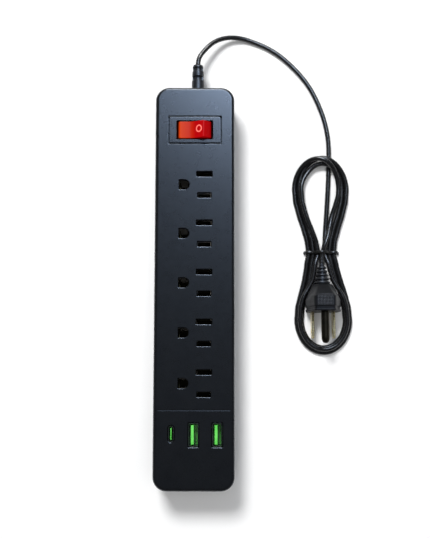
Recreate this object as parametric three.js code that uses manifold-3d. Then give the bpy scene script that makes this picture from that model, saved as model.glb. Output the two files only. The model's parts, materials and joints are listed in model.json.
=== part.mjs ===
// Power strip: five grounded outlets in a row, a lit rocker switch, three USB ports,
// and a thin mains lead that is folded into a tied hank with its plug inside the lower loop.
// Millimetres. X runs across the strip, Y along it towards the lead, Z up from the flat underside.

import * as THREE from 'three';
import { mergeVertices } from 'three/addons/utils/BufferGeometryUtils.js';
import Module from 'manifold-3d';

const wasm = await Module();
wasm.setup();

// ---------------------------------------------------------------- driving dimensions

// Clearance between neighbouring pieces
const GAP = 0.3;
const WELD = 1e-4;

// Housing
const HOUSING_WIDTH = 46.8;
const HOUSING_LENGTH = 236.3;
const HOUSING_HEIGHT = 28;
const CORNER_RADIUS = 8;
const TOP_FILLET = 2;
const WALL = 2;
const TOP_PLATE = 2.4;
const FLOOR = 2;
const PARTING_Z = 8;
const LIP = 1;
const LIP_TOP_Z = 10;
const HALF_LENGTH = HOUSING_LENGTH / 2;
const CEILING_Z = HOUSING_HEIGHT - TOP_PLATE;
// How far a join reaches into its neighbour, and a cutter past the face that it cuts
const MERGE = 0.5;
const PAST = 1;
// Wider than anything here, for cutting planes
const FAR = 200;

// Cover screws in bosses, keyholes, and seats on the bottom cover's floor
const SCREW_XS = [-16.7, 16.7];
const SCREW_YS = [-109, 1, 109];
const SCREW_PLACES = SCREW_YS.flatMap((y) => SCREW_XS.map((x) => [x, y]));
const SCREW_SHANK = 1.4;
const SCREW_HEAD = { radius: 2.6, lowZ: 2.2, highZ: 4, chamfer: 0.7 };
const SCREW_CROSS = { length: 2.6, width: 0.7, depth: 0.9 };
const SCREW_TIP = { z: 17, taper: 2 };
const TOP_BOSS_RADIUS = 2.9;
const BOTTOM_BOSS_RADIUS = 4.2;
const BOSS_JOINT_Z = 6.6;
const KEYHOLES = [-80, 80];
const KEYHOLE = { headRadius: 3.7, neck: 3.8, run: 7 };
const PLATE_SEATS = { ys: [-60, -14, 14, 66], length: 24, width: 2 };
const BOARD_POSTS = { xs: [-15, 15], ys: [-99, -79], radius: 2.4 };

// Outlets, to the standard grounded 15 A layout, turned so that the ground hole is at the left
const OUTLET_COUNT = 5;
const FIRST_OUTLET_Y = 58.95;
const OUTLET_PITCH = 29.05;
const BLADE_X = 5.6;
const GROUND_X = -6.3;
const BLADE_SPACING = 12.7;
const NEUTRAL_SLOT = { length: 9.2, width: 3 };
const LINE_SLOT = { length: 8.1, width: 2.9 };
const GROUND_HOLE = { width: 6, height: 5.7 };
const OUTLET_YS = Array.from({ length: OUTLET_COUNT }, (_, i) => FIRST_OUTLET_Y - i * OUTLET_PITCH);

// Step line between the outlets and the USB end
const STEP_LINE_Y = -72.4;
const STEP_LINE = { width: 0.7, depth: 0.5, halfSpan: 21.2 };

// Rocker switch. The pivot is the hinge axis, along Y.
const SWITCH_X = -0.1;
const SWITCH_Y = 92;
const SWITCH_FLANGE = { length: 30.4, width: 15.8, thickness: 1.8 };
const SWITCH_RECESS = { length: 31.8, width: 17.2 };
const SWITCH_OPENING = { length: 21, width: 10.7 };
const SWITCH_BODY = { length: 26.4, width: 14, bottomZ: 9.2, floorZ: 10.7 };
const SWITCH_CAVITY_LENGTH = 23.8;
const SWITCH_TOP_Z = HOUSING_HEIGHT + 0.2;
const SWITCH_RIM_Z = SWITCH_TOP_Z - SWITCH_FLANGE.thickness;
const SWITCH_PAD = { length: 35.6, width: 20.8, thickness: 1.6 };
const PRESSED_ANGLE = THREE.MathUtils.degToRad(14);
const ROCKER = { width: 10.1, crestX: 7.47, crestZ: 8.5, valleyZ: 6.64, skirtAngle: 8, wall: 1.2 };
const ROCKER_SKIRT = { bottomZ: -1.2, draw: 2.2 };
const ROCKER_POST = { radius: 2.6, bottomZ: -5, topGap: 0.4 };
const ROCKER_WEB = { halfWidth: 2.2, topZ: 5 };
const PIVOT_DROP = 6.5;
const PIVOT_Z = SWITCH_TOP_Z - PIVOT_DROP;
const PIVOT_PIN = { radius: 1.5, reach: 6.5 };
const PLUNGER = { radius: 1.2, tipZ: -7.6, topZ: -3 };
const PLUNGER_BORE = { radius: 1.5, topZ: 3 };
const SWITCH_SPRING = { radius: 0.95, wire: 0.22, turns: 4, steps: 40 };
const SEESAW = { halfLength: 6.2, width: 4.4, thickness: 0.6, topZ: 13.8, contactInset: 0.9 };
const SEESAW_ANGLE = THREE.MathUtils.degToRad(7.7);
const TERMINAL = { thickness: 0.8, width: 4.8, bottomZ: 4.8, topZ: 11.6, tabReach: 3.4 };
const TERMINAL_XS = { line_in: 0, line_out: 7.8, neutral: -7.8 };
const RIVET = { radius: 0.8, head: 0.3, fixedX: 5.4 };
const LAMP = { x: -9.8, z: 14.6, radius: 1.5, halfLength: 3.4, leadRadius: 0.3, leadY: 1.6 };
const RESISTOR = { x: -3.9, z: 7, radius: 1, halfLength: 2.6 };

// Contact strips
const CLIP = { baseZ: 9, topZ: 20.5, halfGap: 0.95, leaf: 0.6, flare: 0.5, lipHeight: 1.4, overlap: 0.3 };
const BLADE_CLIP_WIDTHS = { neutral: 7.6, line: 7.2 };
const GROUND_CLIP = { halfGap: 2.1, halfWidth: 2.5 };
const STRIP_ARM = { blade: 1.5, ground: 2 };
const STRIP_END_MARGIN = 12;
const STRIP = { thickness: 0.8, bottomZ: 9, topZ: 14.5 };
const NEUTRAL_STRIP_X = 13;
const LINE_STRIP_X = -1.8;
const GROUND_STRIP_X = -12;
const CONTACT_PLATE = { halfWidth: 15.4, bottomZ: 6.6, topZ: 8.6, endMargin: 0.2, bossRoom: 4.6 };
const RIB_XS = [-14.6, -2.9, 14.9];
const RIB = { halfWidth: 0.35, topZ: 15 };

// USB module
const USB_BOARD = { halfWidth: 19.2, lowY: -105, highY: -75.5, bottomZ: 12.8, topZ: 14.4 };
const USB_TOP_Z = HOUSING_HEIGHT - 0.4;
const USB_C = { x: -13, y: -85.8, width: 3.2, length: 9, wall: 0.35 };
const USB_A = { xs: [-0.2, 13.4], y: -86.4, width: 5.7, length: 13.2, wall: 0.35, tongueX: -0.6 };
const SHELL_FLOOR = 1;
const USB_SEAT_Z = USB_BOARD.topZ + GAP;
const TONGUE = {
  baseHeight: 2,
  drop: 0.6,
  a: { thickness: 1.8, length: 11.1 },
  c: { thickness: 0.8, length: 6.7 },
};
const TRANSFORMER = { x: 4.5, y: -99.4, width: 13, length: 10.4, topZ: 24.6 };
const CAPACITORS = {
  input: { x: -8, y: -99.6, radius: 4, topZ: 25 },
  output: { x: -15.4, y: -95.6, radius: 2.6, topZ: 23 },
};
const POWER_CHIP = { x: -3, y: -84, width: 6, length: 5, thickness: 1.6 };

// Lead: relief, route, hank and plug
const CORD_RADIUS = 1.45;
const CORD_SIDES = 8;
const CORD_X = 1.4;
const CORD_Z = 12.5;
const RELIEF_INNER_Y = 112.6;
const RELIEF_END_Y = 137.2;
const RELIEF_NECK_RADIUS = 3.1;
const RELIEF_FLANGE_RADIUS = 4.6;
const JACKET_END_Y = 102.4;
const CLAMP_Y = 107;
const CLAMP = { length: 16, width: 5, lowRise: 0.2, highRise: 3.8, screwX: 5.4 };
const CLAMP_SCREW = { shank: 1.1, head: 2.2, tipZ: 6, bossRadius: 2.6, bossDrop: 0.9 };
const CLAMP_SADDLE = { length: 7, width: 3 };
const CORD_ROUTE = [
  [1.4, 137.6, 12.5], [1.6, 140.2, 12.3], [2.6, 143.2, 11.7], [4.9, 146.8, 10.6],
  [7.9, 150.6, 9.3], [11.5, 153.9, 7.8], [15.8, 156.4, 6.2], [20.4, 157.8, 4.7],
  [25.4, 158.2, 3.4], [31, 157.5, 2.3], [37.6, 155.3, 1.7], [44.6, 152.2, 1.5],
  [51.8, 147.6, 1.5], [58.9, 141.4, 1.5], [65.8, 133.9, 1.5], [71.7, 125.4, 1.5],
  [76.4, 115.6, 1.5], [79.8, 105.8, 1.5], [81.8, 96.2, 1.5], [82.5, 86.6, 1.5],
];
// Outer outline of one loop of the hank: distance from the tie, and half the width there
const TIE_Y = 21.2;
const HANK_X = 77;
const LOWER_SHIFT_X = 1;
const LOOP_OUTLINE = [[0, 10.2], [8, 10.8], [16, 12.5], [24, 14.8], [32, 16.9], [40, 17.6]];
const LOOP_CAP = { start: 40, radiusX: 17.6, radiusY: 21.4 };
const LOOP_CAP_STEPS = 16;
const HANK_BUNDLE = 6.2;
const HANK_HEIGHT = 5.8;
const TIE_WAIST = { halfWidth: 9.9, height: 5.2, halfLength: 4, gripMargin: 1 };
const TIE_BAND = { width: 1.8, thickness: 0.9 };
// Keeps the lead's solids just clear of the surface that they lie on
const FLOOR_CLEARANCE = 0.05;
const PLUG_X = 77.1;
const PLUG_TURN = THREE.MathUtils.degToRad(0.5);
const PLUG_FACE_Y = -14.6;
const PLUG_LENGTH = 17;
const PLUG_HALF_WIDTH = 10.7;
const PLUG_TOP_HALF_WIDTH = 5.6;
const PLUG_HEIGHT = 21.5;
const PLUG_SHOULDER = 7;
const PLUG_FLANK = { straightZ: 8.5, edgeX: 1.2, edgeZ: 2, bottomChamfer: 1, clearance: 0.1 };
const PLUG_BACK = { halfWidth: 3.6, beyond: 5, slopeStart: 8, slopeEndZ: 10 };
const PLUG_CORD_Z = 5;
const BLADE_Z = 5.2;
const GROUND_PIN_RISE = 11.9;
const BLADE_LENGTH = 15.9;
const BLADE_THICKNESS = 1.5;
const PLUG_NEUTRAL_WIDTH = 7.9;
const PLUG_LINE_WIDTH = 6.35;
const BLADE_TIP = 1.4;
const BLADE_HOLE = { radius: 1.6, fromTip: 4.4 };
const GROUND_PIN = { radius: 2.4, length: 19.1, tip: 1.8 };
const BLADE_ROOT = 4;
const PLUG_RELIEF = { length: 12.4, rings: 5, radius: 3.9, ringStep: 0.32, groove: 0.9, tipRadius: 2 };

// Wires inside
const WIRE_RADIUS = 0.9;
const WIRE_SIDES = 6;
const WIRE_STEPS = 16;

// ---------------------------------------------------------------- solids from three.js shapes

function solidOf(geometry) {
  const bare = new THREE.BufferGeometry();
  bare.setAttribute('position', geometry.getAttribute('position').clone());
  if (geometry.index) {
    bare.setIndex(geometry.index.clone());
  }
  const welded = mergeVertices(bare, WELD);
  const corners = welded.index.array;
  const kept = [];
  for (let i = 0; i < corners.length; i += 3) {
    const [a, b, c] = [corners[i], corners[i + 1], corners[i + 2]];
    if (a !== b && b !== c && c !== a) {
      kept.push(a, b, c);
    }
  }
  return new wasm.Manifold(new wasm.Mesh({
    numProp: 3,
    vertProperties: new Float32Array(welded.getAttribute('position').array),
    triVerts: new Uint32Array(kept),
  }));
}

function geometryOf(solid) {
  const mesh = solid.getMesh();
  const geometry = new THREE.BufferGeometry();
  geometry.setAttribute('position', new THREE.BufferAttribute(mesh.vertProperties, 3));
  geometry.setIndex(new THREE.BufferAttribute(mesh.triVerts, 1));
  geometry.computeVertexNormals();
  return geometry;
}

function joined(...solids) {
  return solids.reduce((whole, next) => whole.add(next));
}

function without(solid, ...cutters) {
  return cutters.reduce((rest, cutter) => rest.subtract(cutter), solid);
}

function block(low, high) {
  const size = high.map((value, i) => value - low[i]);
  const geometry = new THREE.BoxGeometry(...size);
  geometry.translate(...high.map((value, i) => (value + low[i]) / 2));
  return solidOf(geometry);
}

function blockAt(x, y, lengthX, lengthY, lowZ, highZ) {
  return block([x - lengthX / 2, y - lengthY / 2, lowZ], [x + lengthX / 2, y + lengthY / 2, highZ]);
}

function postAt(x, y, radius, lowZ, highZ, sides = 14) {
  const geometry = new THREE.CylinderGeometry(radius, radius, highZ - lowZ, sides);
  geometry.rotateX(Math.PI / 2);
  geometry.translate(x, y, (lowZ + highZ) / 2);
  return solidOf(geometry);
}

function rodAlongY(x, z, radius, lowY, highY, sides = 16) {
  const geometry = new THREE.CylinderGeometry(radius, radius, highY - lowY, sides);
  geometry.translate(x, (lowY + highY) / 2, z);
  return solidOf(geometry);
}

function extruded(shape, lowZ, highZ, curveSegments = 6) {
  const options = { depth: highZ - lowZ, bevelEnabled: false, curveSegments };
  const geometry = new THREE.ExtrudeGeometry(shape, options);
  geometry.translate(0, 0, lowZ);
  return solidOf(geometry);
}

// A profile drawn in X and Z, with its thickness along Y
function profileAlongY(shape, lowY, highY, curveSegments = 8) {
  const options = { depth: highY - lowY, bevelEnabled: false, curveSegments };
  const geometry = new THREE.ExtrudeGeometry(shape, options);
  geometry.rotateX(Math.PI / 2);
  geometry.translate(0, highY, 0);
  return solidOf(geometry);
}

function roundedRectangle(width, length, radius) {
  const x = width / 2;
  const y = length / 2;
  const shape = new THREE.Shape();
  shape.moveTo(-x + radius, -y);
  shape.lineTo(x - radius, -y);
  shape.absarc(x - radius, -y + radius, radius, -Math.PI / 2, 0);
  shape.lineTo(x, y - radius);
  shape.absarc(x - radius, y - radius, radius, 0, Math.PI / 2);
  shape.lineTo(-x + radius, y);
  shape.absarc(-x + radius, y - radius, radius, Math.PI / 2, Math.PI);
  shape.lineTo(-x, -y + radius);
  shape.absarc(-x + radius, -y + radius, radius, Math.PI, Math.PI * 1.5);
  return shape;
}

function roundedBlock(width, length, radius, lowZ, highZ) {
  return extruded(roundedRectangle(width, length, radius), lowZ, highZ, 7);
}

// The outer skin, with a rounded edge round its top face
function housingBlank() {
  const options = {
    depth: HOUSING_HEIGHT - TOP_FILLET,
    bevelThickness: TOP_FILLET,
    bevelSize: TOP_FILLET,
    bevelOffset: -TOP_FILLET,
    bevelSegments: 4,
    curveSegments: 7,
  };
  const shape = roundedRectangle(HOUSING_WIDTH, HOUSING_LENGTH, CORNER_RADIUS);
  const skin = solidOf(new THREE.ExtrudeGeometry(shape, options));
  return skin.intersect(block([-FAR, -FAR, 0], [FAR, FAR, FAR]));
}

function inset(depth, lowZ, highZ) {
  const width = HOUSING_WIDTH - 2 * depth;
  const length = HOUSING_LENGTH - 2 * depth;
  return roundedBlock(width, length, CORNER_RADIUS - depth, lowZ, highZ);
}

// A revolved profile of [radius, height] pairs about Z
function turned(profile, sides = 20) {
  const points = profile.map(([radius, height]) => new THREE.Vector2(radius, height));
  const geometry = new THREE.LatheGeometry(points, sides);
  geometry.rotateX(Math.PI / 2);
  return solidOf(geometry);
}

function turnedAlongY(profile, sides = 20) {
  const points = profile.map(([radius, height]) => new THREE.Vector2(radius, height));
  return solidOf(new THREE.LatheGeometry(points, sides));
}

function circleShape(radius, sides) {
  const shape = new THREE.Shape();
  for (let i = 0; i < sides; i += 1) {
    const angle = (2 * Math.PI * (i + 0.5)) / sides;
    const point = [radius * Math.cos(angle), radius * Math.sin(angle)];
    if (i === 0) {
      shape.moveTo(...point);
    } else {
      shape.lineTo(...point);
    }
  }
  return shape;
}

function tube(points, radius, steps, sides = CORD_SIDES) {
  const path = new THREE.CatmullRomCurve3(points.map((point) => new THREE.Vector3(...point)));
  const options = { steps, extrudePath: path, bevelEnabled: false };
  return solidOf(new THREE.ExtrudeGeometry(circleShape(radius, sides), options));
}

// ---------------------------------------------------------------- materials and the group

function finish(color, roughness, metalness = 0) {
  return new THREE.MeshStandardMaterial({ color, roughness, metalness });
}

const blackPlastic = finish(0x1b1c1f, 0.5);
const innerPlastic = finish(0xd8d4c8, 0.6);
const redLens = finish(0xc8060c, 0.25);
const blackRubber = finish(0x0e0e10, 0.35);
const brass = finish(0xb8963e, 0.35, 1);
const steel = finish(0xb4b6b8, 0.35, 1);
const greenPlastic = finish(0x2fbf3a, 0.5);
const boardGreen = finish(0x1d5a34, 0.6);
const chipBlack = finish(0x18181a, 0.5);
const lampGlass = finish(0xffb070, 0.1);
const ferrite = finish(0xd9b23a, 0.6);

const strip = new THREE.Group();

function addPiece(parent, name, solid, material) {
  const mesh = new THREE.Mesh(geometryOf(solid), material);
  mesh.name = name;
  parent.add(mesh);
}

// ---------------------------------------------------------------- housing

function dShape(x, y) {
  const { width, height } = GROUND_HOLE;
  const radius = height / 2;
  const roundX = width - radius - width / 2;
  const shape = new THREE.Shape();
  shape.moveTo(x - width / 2, y - radius);
  shape.lineTo(x + roundX, y - radius);
  shape.absarc(x + roundX, y, radius, -Math.PI / 2, Math.PI / 2);
  shape.lineTo(x - width / 2, y + radius);
  return shape;
}

function outletCutters(y) {
  const lowZ = CEILING_Z - PAST;
  const highZ = HOUSING_HEIGHT + PAST;
  const half = BLADE_SPACING / 2;
  return joined(
    blockAt(BLADE_X, y + half, NEUTRAL_SLOT.length, NEUTRAL_SLOT.width, lowZ, highZ),
    blockAt(BLADE_X, y - half, LINE_SLOT.length, LINE_SLOT.width, lowZ, highZ),
    extruded(dShape(GROUND_X, y), lowZ, highZ),
  );
}

function stadium(x, y, width, length, lowZ, highZ) {
  const nearlyRound = width / 2 - 0.01;
  return extruded(roundedRectangle(width, length, nearlyRound), lowZ, highZ, 5).translate([x, y, 0]);
}

function usbCutters() {
  const lowZ = CEILING_Z - PAST;
  const highZ = HOUSING_HEIGHT + PAST;
  const room = 2 * GAP;
  const cutters = USB_A.xs.map((x) =>
    blockAt(x, USB_A.y, USB_A.width + room, USB_A.length + room, lowZ, highZ));
  cutters.push(stadium(USB_C.x, USB_C.y, USB_C.width + room, USB_C.length + room, lowZ, highZ));
  return joined(...cutters);
}

// The hole that the strain relief's neck and inner flange stand in
function reliefEnvelope(room) {
  const neckRadius = RELIEF_NECK_RADIUS + room;
  const flangeRadius = RELIEF_FLANGE_RADIUS + room;
  const lowY = RELIEF_INNER_Y - 2 * GAP;
  return joined(
    rodAlongY(CORD_X, CORD_Z, neckRadius, lowY, HALF_LENGTH + 2 * PAST),
    rodAlongY(CORD_X, CORD_Z, flangeRadius, lowY, HALF_LENGTH - WALL),
  );
}

function topCover() {
  const above = block([-FAR, -FAR, PARTING_Z + GAP / 2], [FAR, FAR, FAR]);
  let cover = without(housingBlank().intersect(above), inset(WALL, PARTING_Z - PAST, CEILING_Z));
  // thicker pad round the switch, in which its flange sits
  const padLowZ = SWITCH_RIM_Z - GAP - SWITCH_PAD.thickness;
  const pad = blockAt(SWITCH_X, SWITCH_Y, SWITCH_PAD.length, SWITCH_PAD.width, padLowZ, CEILING_Z + MERGE);
  cover = cover.add(pad);
  for (const [x, y] of SCREW_PLACES) {
    const boss = postAt(x, y, TOP_BOSS_RADIUS, BOSS_JOINT_Z + GAP, CEILING_Z + MERGE);
    const pilot = postAt(x, y, SCREW_SHANK + GAP, BOSS_JOINT_Z, SCREW_TIP.z + SCREW_TIP.taper, 16);
    cover = cover.add(boss).subtract(pilot);
  }
  const flangeSeat = blockAt(SWITCH_X, SWITCH_Y, SWITCH_RECESS.length, SWITCH_RECESS.width,
    SWITCH_RIM_Z - GAP, HOUSING_HEIGHT + PAST);
  const bodyHole = blockAt(SWITCH_X, SWITCH_Y, SWITCH_BODY.length + 2 * GAP, SWITCH_BODY.width + 2 * GAP,
    padLowZ - PAST, HOUSING_HEIGHT + PAST);
  const stepLine = blockAt(0, STEP_LINE_Y, 2 * STEP_LINE.halfSpan, STEP_LINE.width,
    HOUSING_HEIGHT - STEP_LINE.depth, HOUSING_HEIGHT + PAST);
  cover = without(cover, flangeSeat, bodyHole, stepLine, usbCutters(), reliefEnvelope(GAP));
  return without(cover, ...OUTLET_YS.map(outletCutters));
}

function keyholeCutter(y) {
  const highZ = FLOOR + PAST;
  return joined(
    postAt(0, y, KEYHOLE.headRadius, -PAST, highZ, 18),
    blockAt(0, y + KEYHOLE.run / 2, KEYHOLE.neck, KEYHOLE.run, -PAST, highZ),
    postAt(0, y + KEYHOLE.run, KEYHOLE.neck / 2, -PAST, highZ, 16),
  );
}

// Seats on the floor for the contact plate, the USB board and the cord clamp
function floorSeats() {
  const lowZ = FLOOR - MERGE;
  const seats = PLATE_SEATS.ys.map((y) =>
    blockAt(0, y, PLATE_SEATS.length, PLATE_SEATS.width, lowZ, CONTACT_PLATE.bottomZ - GAP));
  for (const x of BOARD_POSTS.xs) {
    for (const y of BOARD_POSTS.ys) {
      seats.push(postAt(x, y, BOARD_POSTS.radius, lowZ, USB_BOARD.bottomZ - GAP));
    }
  }
  for (const side of [-1, 1]) {
    const x = CORD_X + side * CLAMP.screwX;
    const boss = postAt(x, CLAMP_Y, CLAMP_SCREW.bossRadius, lowZ, CORD_Z - CLAMP_SCREW.bossDrop);
    const pilot = postAt(x, CLAMP_Y, CLAMP_SCREW.shank + GAP, FLOOR + 3 * PAST, CORD_Z + PAST, 16);
    seats.push(boss.subtract(pilot));
  }
  const saddleTop = CORD_Z - CORD_RADIUS - GAP;
  seats.push(blockAt(CORD_X, CLAMP_Y, CLAMP_SADDLE.length, CLAMP_SADDLE.width, lowZ, saddleTop));
  return joined(...seats);
}

function bottomCover() {
  const below = block([-FAR, -FAR, -PAST], [FAR, FAR, PARTING_Z - GAP / 2]);
  const inside = WALL + GAP;
  let cover = without(housingBlank().intersect(below), inset(inside, FLOOR, HOUSING_HEIGHT));
  const lip = without(inset(inside, FLOOR - MERGE, LIP_TOP_Z), inset(inside + LIP, FLOOR, HOUSING_HEIGHT));
  cover = joined(cover, lip, floorSeats());
  for (const [x, y] of SCREW_PLACES) {
    const boss = postAt(x, y, BOTTOM_BOSS_RADIUS, FLOOR - MERGE, BOSS_JOINT_Z);
    cover = cover.add(boss.intersect(inset(inside, 0, HOUSING_HEIGHT)));
  }
  for (const [x, y] of SCREW_PLACES) {
    cover = without(cover,
      postAt(x, y, SCREW_HEAD.radius + 2 * GAP, -PAST, SCREW_HEAD.highZ + GAP),
      postAt(x, y, SCREW_SHANK + GAP, 0, BOSS_JOINT_Z + PAST, 16));
  }
  return without(cover, reliefEnvelope(GAP), ...KEYHOLES.map(keyholeCutter));
}

function coverScrew(x, y) {
  const { radius, lowZ, highZ, chamfer } = SCREW_HEAD;
  const { length, width, depth } = SCREW_CROSS;
  const body = turned([
    [0, lowZ], [radius - chamfer, lowZ], [radius, lowZ + chamfer], [radius, highZ],
    [SCREW_SHANK, highZ], [SCREW_SHANK, SCREW_TIP.z - SCREW_TIP.taper], [0, SCREW_TIP.z],
  ], 18);
  const cross = joined(
    blockAt(0, 0, length, width, lowZ - PAST, lowZ + depth),
    blockAt(0, 0, width, length, lowZ - PAST, lowZ + depth));
  return without(body, cross).translate([x, y, 0]);
}

addPiece(strip, 'top_cover', topCover(), blackPlastic);
addPiece(strip, 'bottom_cover', bottomCover(), blackPlastic);
SCREW_PLACES.forEach(([x, y], i) => {
  addPiece(strip, `cover_screw_${i + 1}`, coverScrew(x, y), steel);
});

// ---------------------------------------------------------------- rocker switch

const switchGroup = new THREE.Group();
switchGroup.position.set(SWITCH_X, SWITCH_Y, 0);
strip.add(switchGroup);

function switchHousing() {
  const { bottomZ, floorZ, length: bodyLength, width: bodyWidth } = SWITCH_BODY;
  const { length: mouthLength, width: mouthWidth } = SWITCH_OPENING;
  let body = joined(
    blockAt(0, 0, SWITCH_FLANGE.length, SWITCH_FLANGE.width, SWITCH_RIM_Z, SWITCH_TOP_Z),
    blockAt(0, 0, bodyLength, bodyWidth, bottomZ, SWITCH_RIM_Z + MERGE));
  const cavity = blockAt(0, 0, SWITCH_CAVITY_LENGTH, mouthWidth, floorZ, SWITCH_RIM_Z);
  const mouth = blockAt(0, 0, mouthLength, mouthWidth, SWITCH_RIM_Z - PAST, SWITCH_TOP_Z + PAST);
  const pivotHole = rodAlongY(0, PIVOT_Z, PIVOT_PIN.radius + GAP, -SWITCH_BODY.width, SWITCH_BODY.width);
  body = without(body, cavity, mouth, pivotHole);
  for (const x of Object.values(TERMINAL_XS)) {
    body = without(body, blockAt(x, 0, TERMINAL.thickness + 2 * GAP, TERMINAL.width + 2 * GAP,
      bottomZ - PAST, floorZ + PAST));
  }
  return body;
}

function pointAt(radius, degrees) {
  const angle = THREE.MathUtils.degToRad(degrees);
  return [radius * Math.cos(angle), radius * Math.sin(angle)];
}

// The rocker's side outline about its pivot: two crests, a shallow valley and round ends
function rockerShape(shrink) {
  const radius = Math.hypot(ROCKER.crestX, ROCKER.crestZ) - shrink;
  const crestAngle = THREE.MathUtils.radToDeg(Math.atan2(ROCKER.crestZ, ROCKER.crestX)) - 2 * shrink;
  const steps = 6;
  const shape = new THREE.Shape();
  shape.moveTo(0, ROCKER.valleyZ - shrink);
  for (let i = 0; i <= steps; i += 1) {
    const degrees = crestAngle + (ROCKER.skirtAngle - crestAngle) * (i / steps);
    shape.lineTo(...pointAt(radius, degrees));
  }
  shape.lineTo(radius - ROCKER_SKIRT.draw, ROCKER_SKIRT.bottomZ);
  shape.lineTo(-(radius - ROCKER_SKIRT.draw), ROCKER_SKIRT.bottomZ);
  for (let i = steps; i >= 0; i -= 1) {
    const [x, z] = pointAt(radius, crestAngle + (ROCKER.skirtAngle - crestAngle) * (i / steps));
    shape.lineTo(-x, z);
  }
  return shape;
}

function rocker() {
  const half = ROCKER.width / 2;
  const inner = half - ROCKER.wall;
  const { bottomZ } = ROCKER_SKIRT;
  const roomHalf = ROCKER.crestX - MERGE;
  const shell = profileAlongY(rockerShape(0), -half, half);
  const hollow = profileAlongY(rockerShape(ROCKER.wall), -inner, inner)
    .add(block([-roomHalf, -inner, bottomZ - 2 * PAST], [roomHalf, inner, 3 * PAST]));
  const post = postAt(0, 0, ROCKER_POST.radius, ROCKER_POST.bottomZ, ROCKER.valleyZ - ROCKER_POST.topGap, 20);
  const web = block([-ROCKER_WEB.halfWidth, -half, bottomZ], [ROCKER_WEB.halfWidth, half, ROCKER_WEB.topZ]);
  const pins = rodAlongY(0, 0, PIVOT_PIN.radius, -PIVOT_PIN.reach, PIVOT_PIN.reach);
  const bore = postAt(0, 0, PLUNGER_BORE.radius, PLUNGER.tipZ - PAST, PLUNGER_BORE.topZ, 20);
  return joined(without(shell, hollow), post, web, pins).subtract(bore);
}

function plunger() {
  const { radius, tipZ, topZ } = PLUNGER;
  return turned([[0, tipZ], [radius * 0.6, tipZ + 0.2], [radius, tipZ + 0.9], [radius, topZ], [0, topZ]], 16);
}

function switchSpring() {
  const lowZ = PLUNGER.topZ + GAP + SWITCH_SPRING.wire;
  const highZ = PLUNGER_BORE.topZ - GAP - SWITCH_SPRING.wire;
  const points = [];
  const count = SWITCH_SPRING.turns * 12;
  for (let i = 0; i <= count; i += 1) {
    const angle = (i / count) * SWITCH_SPRING.turns * 2 * Math.PI;
    const { radius } = SWITCH_SPRING;
    points.push([radius * Math.cos(angle), radius * Math.sin(angle), lowZ + (highZ - lowZ) * (i / count)]);
  }
  return tube(points, SWITCH_SPRING.wire, SWITCH_SPRING.steps, 5);
}

function seesaw() {
  const { halfLength, width, thickness, contactInset } = SEESAW;
  const plate = block([-halfLength, -width / 2, -thickness], [halfLength, width / 2, 0]);
  const contact = postAt(halfLength - contactInset, 0, RIVET.radius, -thickness - RIVET.head, -thickness / 2);
  return plate.add(contact);
}

function terminal(x) {
  const isPivot = x === TERMINAL_XS.line_in;
  const topZ = isPivot ? SEESAW.topZ - SEESAW.thickness - GAP : TERMINAL.topZ;
  const half = TERMINAL.thickness / 2;
  const wide = TERMINAL.width / 2;
  const plate = block([x - half, -wide, TERMINAL.bottomZ], [x + half, wide, topZ]);
  if (x !== TERMINAL_XS.line_out) {
    return plate;
  }
  const tabLowZ = TERMINAL.topZ - SEESAW.thickness;
  const tab = block([x - TERMINAL.tabReach, -wide, tabLowZ], [x + half, wide, TERMINAL.topZ]);
  const rivet = postAt(RIVET.fixedX, 0, RIVET.radius, TERMINAL.topZ - RIVET.head, TERMINAL.topZ + RIVET.head);
  return joined(plate, tab, rivet);
}

function neonLamp() {
  const { radius, halfLength, leadRadius, leadY } = LAMP;
  const bulb = turnedAlongY([
    [0, -halfLength], [radius * 0.67, -halfLength * 0.91], [radius, -halfLength * 0.7],
    [radius, halfLength * 0.7], [radius * 0.67, halfLength * 0.91], [0, halfLength],
  ], 16);
  const leads = [-leadY, leadY].map((y) => postAt(0, y, leadRadius, -3.2, -radius + MERGE, 8));
  return joined(bulb, ...leads).translate([LAMP.x, 0, LAMP.z]);
}

function lampResistor() {
  return rodAlongY(RESISTOR.x, RESISTOR.z, RESISTOR.radius, -RESISTOR.halfLength, RESISTOR.halfLength, 14);
}

addPiece(switchGroup, 'switch_housing', switchHousing(), blackPlastic);
for (const [name, x] of Object.entries(TERMINAL_XS)) {
  addPiece(switchGroup, `switch_${name}_terminal`, terminal(x), brass);
}
addPiece(switchGroup, 'switch_lamp', neonLamp(), lampGlass);
addPiece(switchGroup, 'switch_lamp_resistor', lampResistor(), innerPlastic);

const rockerGroup = new THREE.Group();
rockerGroup.position.set(0, 0, PIVOT_Z);
rockerGroup.rotation.y = -PRESSED_ANGLE;
switchGroup.add(rockerGroup);
addPiece(rockerGroup, 'switch_rocker', rocker(), redLens);
addPiece(rockerGroup, 'switch_plunger', plunger(), innerPlastic);
addPiece(rockerGroup, 'switch_spring', switchSpring(), steel);

const seesawGroup = new THREE.Group();
seesawGroup.position.set(0, 0, SEESAW.topZ);
seesawGroup.rotation.y = SEESAW_ANGLE;
switchGroup.add(seesawGroup);
addPiece(seesawGroup, 'switch_contact_arm', seesaw(), brass);

// ---------------------------------------------------------------- contact strips

const STRIP_HIGH_Y = OUTLET_YS[0] + STRIP_END_MARGIN;
const STRIP_LOW_Y = OUTLET_YS[OUTLET_COUNT - 1] - STRIP_END_MARGIN;

// A block whose two corners may be given in either order along Y
function blockBetween(lowX, highX, y1, y2, lowZ, highZ) {
  return block([lowX, Math.min(y1, y2), lowZ], [highX, Math.max(y1, y2), highZ]);
}

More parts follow.
